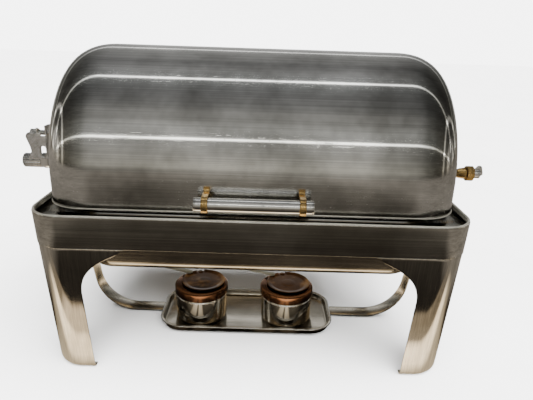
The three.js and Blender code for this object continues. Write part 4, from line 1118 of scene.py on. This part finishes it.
# How much of that shows by distance along X in metres, as painted highlights and painted shade: beside the
# burners, and further out between the legs.
BURNER_GLINTS_AND_SHADE = [(-0.25, 0.9), (-0.20, 0.14), (-0.152, 0.16), (-0.144, 0.62), (-0.116, 0.70), (-0.111, 0.10),
              (-0.104, 0.10), (-0.099, 0.78), (-0.078, 0.66), (-0.071, 0.08), (-0.03, 0.08), (0.005, 0.12),
              (0.012, 0.58), (0.040, 0.68), (0.045, 0.10), (0.052, 0.10), (0.057, 0.78), (0.078, 0.62),
              (0.085, 0.08), (0.15, 0.10), (0.20, 0.14), (0.25, 0.9)]
LEG_GLINTS_AND_SHADE = [(-0.44, 0.35), (-0.38, 1.30), (-0.24, 1.30), (-0.21, 0.20), (0.21, 0.20), (0.24, 0.46),
                (0.38, 0.42), (0.44, 0.25)]


def painted_reflection_card():
    """A glowing card below the steel that only reflections see: a painted reflection of a warm table top
    near by, painted shade under the object, and the dark floor past its edge.
    """
    material, tree, _ = shader("painted_reflection_table_and_room")
    glow = node(tree, "ShaderNodeEmission", {"Strength": 1.0})
    axes = axes_of(tree, node(tree, "ShaderNodeTexCoord").outputs["Object"])
    reach = maths(tree, "DIVIDE", maths(tree, "ABSOLUTE", axes["Y"]), 3.0)
    colour = ramp(tree, reach, [(y / -3.0, c) for y, c in TABLE_REFLECTION_AND_SHADOW])
    across = spread(tree, axes["X"], -0.5, 0.5)
    close, outer = (ramp(tree, across, [(x + 0.5, grey(v)) for x, v in stops])
                    for stops in (BURNER_GLINTS_AND_SHADE, LEG_GLINTS_AND_SHADE))
    # a narrow very bright band: a painted highlight, mirrored as the golden line along the water pan's
    # rounded lower edge
    painted_golden_highlight = ramp(tree, reach, step(0.205 / 3, 0.215 / 3))
    shares = mixed(tree, painted_golden_highlight, close, grey(2.8))
    # further out, the between-legs shares apply: painted shade in the middle under the object, painted
    # highlights for the legs
    dark = ramp(tree, reach, step(0.265 / 3, 0.280 / 3))
    shares = mixed(tree, dark, shares, outer)
    past = ramp(tree, reach, [(-TABLE_EDGE / 3 - 0.001, grey(0)), (-TABLE_EDGE / 3 + 0.001, grey(1))])
    shares = mixed(tree, past, shares, grey(1))
    shaded = mixed(tree, 1.0, colour, shares, "MULTIPLY")
    # far to the sides a flat grey-brown: a painted reflection of dark surroundings for the cover's ends and
    # the legs' outer sides
    painted_side_reflection = ramp(tree, maths(tree, "ABSOLUTE", axes["X"]), step(0.47, 0.62))
    shaded = mixed(tree, painted_side_reflection, shaded, (0.36, 0.325, 0.28))
    tree.links.new(shaded, glow.inputs["Color"])
    tree.links.new(glow.outputs[0], tree.nodes["Material Output"].inputs["Surface"])
    flat_card("painted_reflection_card", (-7.9, -7.9), (7.9, 7.9), 0.0005, material)


# Brightness of the room by angle in degrees: up from the front, over the top and down behind.
ROOM = [(0, (0.46, 0.435, 0.385)), (4, (0.72, 0.69, 0.60)), (13, (0.62, 0.60, 0.54)),
        (22, (0.58, 0.57, 0.53)), (30.5, (0.64, 0.63, 0.60)), (31.4, (10.5, 10.5, 9.9)),
        (32.1, (10.5, 10.5, 9.9)), (33.0, (0.72, 0.72, 0.69)), (41, (0.66, 0.66, 0.63)),
        (50, (0.52, 0.515, 0.49)), (59, (0.40, 0.395, 0.38)), (68, (0.30, 0.30, 0.295)),
        (77, (0.24, 0.24, 0.24)), (88, (0.26, 0.265, 0.265)), (96.0, (0.44, 0.45, 0.45)),
        (97, (8.0, 8.1, 8.0)), (97.6, (8.0, 8.1, 8.0)), (98.6, (0.48, 0.49, 0.49)),
        (112, (0.32, 0.32, 0.32)), (122, (0.25, 0.25, 0.25)), (140, (0.33, 0.33, 0.325)),
        (152, (0.40, 0.40, 0.39)), (153.4, (2.4, 2.4, 2.35)), (154.4, (2.4, 2.4, 2.35)),
        (156, (0.42, 0.42, 0.41)), (170, (0.60, 0.60, 0.585)), (176, (1.6, 1.6, 1.56)),
        (180, (2.0, 2.0, 1.96))]
# How much of it shows by how far the direction points sideways, with two narrow bright slots near each end.
SIDEWAYS = [(0.22, (1, 1, 1)), (0.34, (0.66, 0.66, 0.66)), (0.50, (0.34, 0.34, 0.33)),
            (0.72, (0.20, 0.195, 0.18)), (0.885, (0.20, 0.19, 0.17)), (0.905, (2.4, 2.3, 2.1)),
            (0.92, (0.22, 0.21, 0.19)), (0.965, (0.34, 0.32, 0.29)), (0.98, (1.8, 1.7, 1.56)),
            (1.0, (0.55, 0.52, 0.48))]


def direction_share(tree, direction):
    """The angle of a direction from the front horizon, over the top, to the back horizon, as 0 to 1."""
    axes = axes_of(tree, direction)
    angle = maths(tree, "ARCTAN2", axes["Z"], maths(tree, "MULTIPLY", axes["Y"], -1.0))
    return axes, maths(tree, "DIVIDE", angle, math.pi)


def room():
    world = bpy.data.worlds.new("studio")
    bpy.context.scene.world = world
    world.use_nodes = True
    tree = world.node_tree
    back = tree.nodes["Background"]
    axes, share = direction_share(tree, node(tree, "ShaderNodeTexCoord").outputs["Generated"])
    light = ramp(tree, share, [(angle / 180, colour) for angle, colour in ROOM])
    ends = ramp(tree, maths(tree, "ABSOLUTE", axes["X"]), SIDEWAYS)
    shaded = mixed(tree, 1.0, light, ends, "MULTIPLY")
    seen = node(tree, "ShaderNodeLightPath").outputs["Is Camera Ray"]
    tree.links.new(mixed(tree, seen, shaded, grey(6.0)), back.inputs["Color"])
    back.inputs["Strength"].default_value = 1.0


def sun(strength):
    data = bpy.data.lights.new("soft_sun", "SUN")
    data.energy = strength
    data.angle = math.radians(70)
    lamp = linked("soft_sun", data)
    lamp.rotation_euler = Vector((-0.25, 0.35, -1)).to_track_quat("-Z", "Y").to_euler()
    lamp.visible_glossy = False


def camera():
    data = bpy.data.cameras.new("camera")
    data.sensor_width = 36
    data.lens = 36 * 480 / 533
    data.clip_start = 0.02
    yaw, pitch, roll = (math.radians(v) for v in (0.56, 19.45, 1.92))
    ahead = Vector((math.sin(yaw) * math.cos(pitch), math.cos(yaw) * math.cos(pitch), -math.sin(pitch)))
    level_right = Vector((math.cos(yaw), -math.sin(yaw), 0))
    level_up = level_right.cross(ahead)
    right = level_right * math.cos(roll) + level_up * math.sin(roll)
    up = right.cross(ahead)
    made = linked("camera", data)
    turn = Matrix((right, up, -ahead)).transposed().to_4x4()
    made.matrix_world = at(0.0141, MID_Y - 0.8271, 0.5099) @ turn
    bpy.context.scene.camera = made


camera()
cover_shell()
cover_bushes()
handle()
band()
for side_name, side_sign in SIDES:
    for end_name, end_sign in (("front", -1), ("rear", 1)):
        leg(side_name, end_name, side_sign, end_sign)
seams()
burner_strap()
fastener_rows()
pan_shell("water_pan_shell", "water_pan", "water_pan", PAN_STEEL, 9 * MM, 15 * MM)
pan_shell("food_pan_shell", "food_pan", "food_pan", POLISHED, 14.2 * MM, 12 * MM)
carrier()
pivots()
burner_tray()
burner("left")
burner("right")
stage()
room()
sun(22)
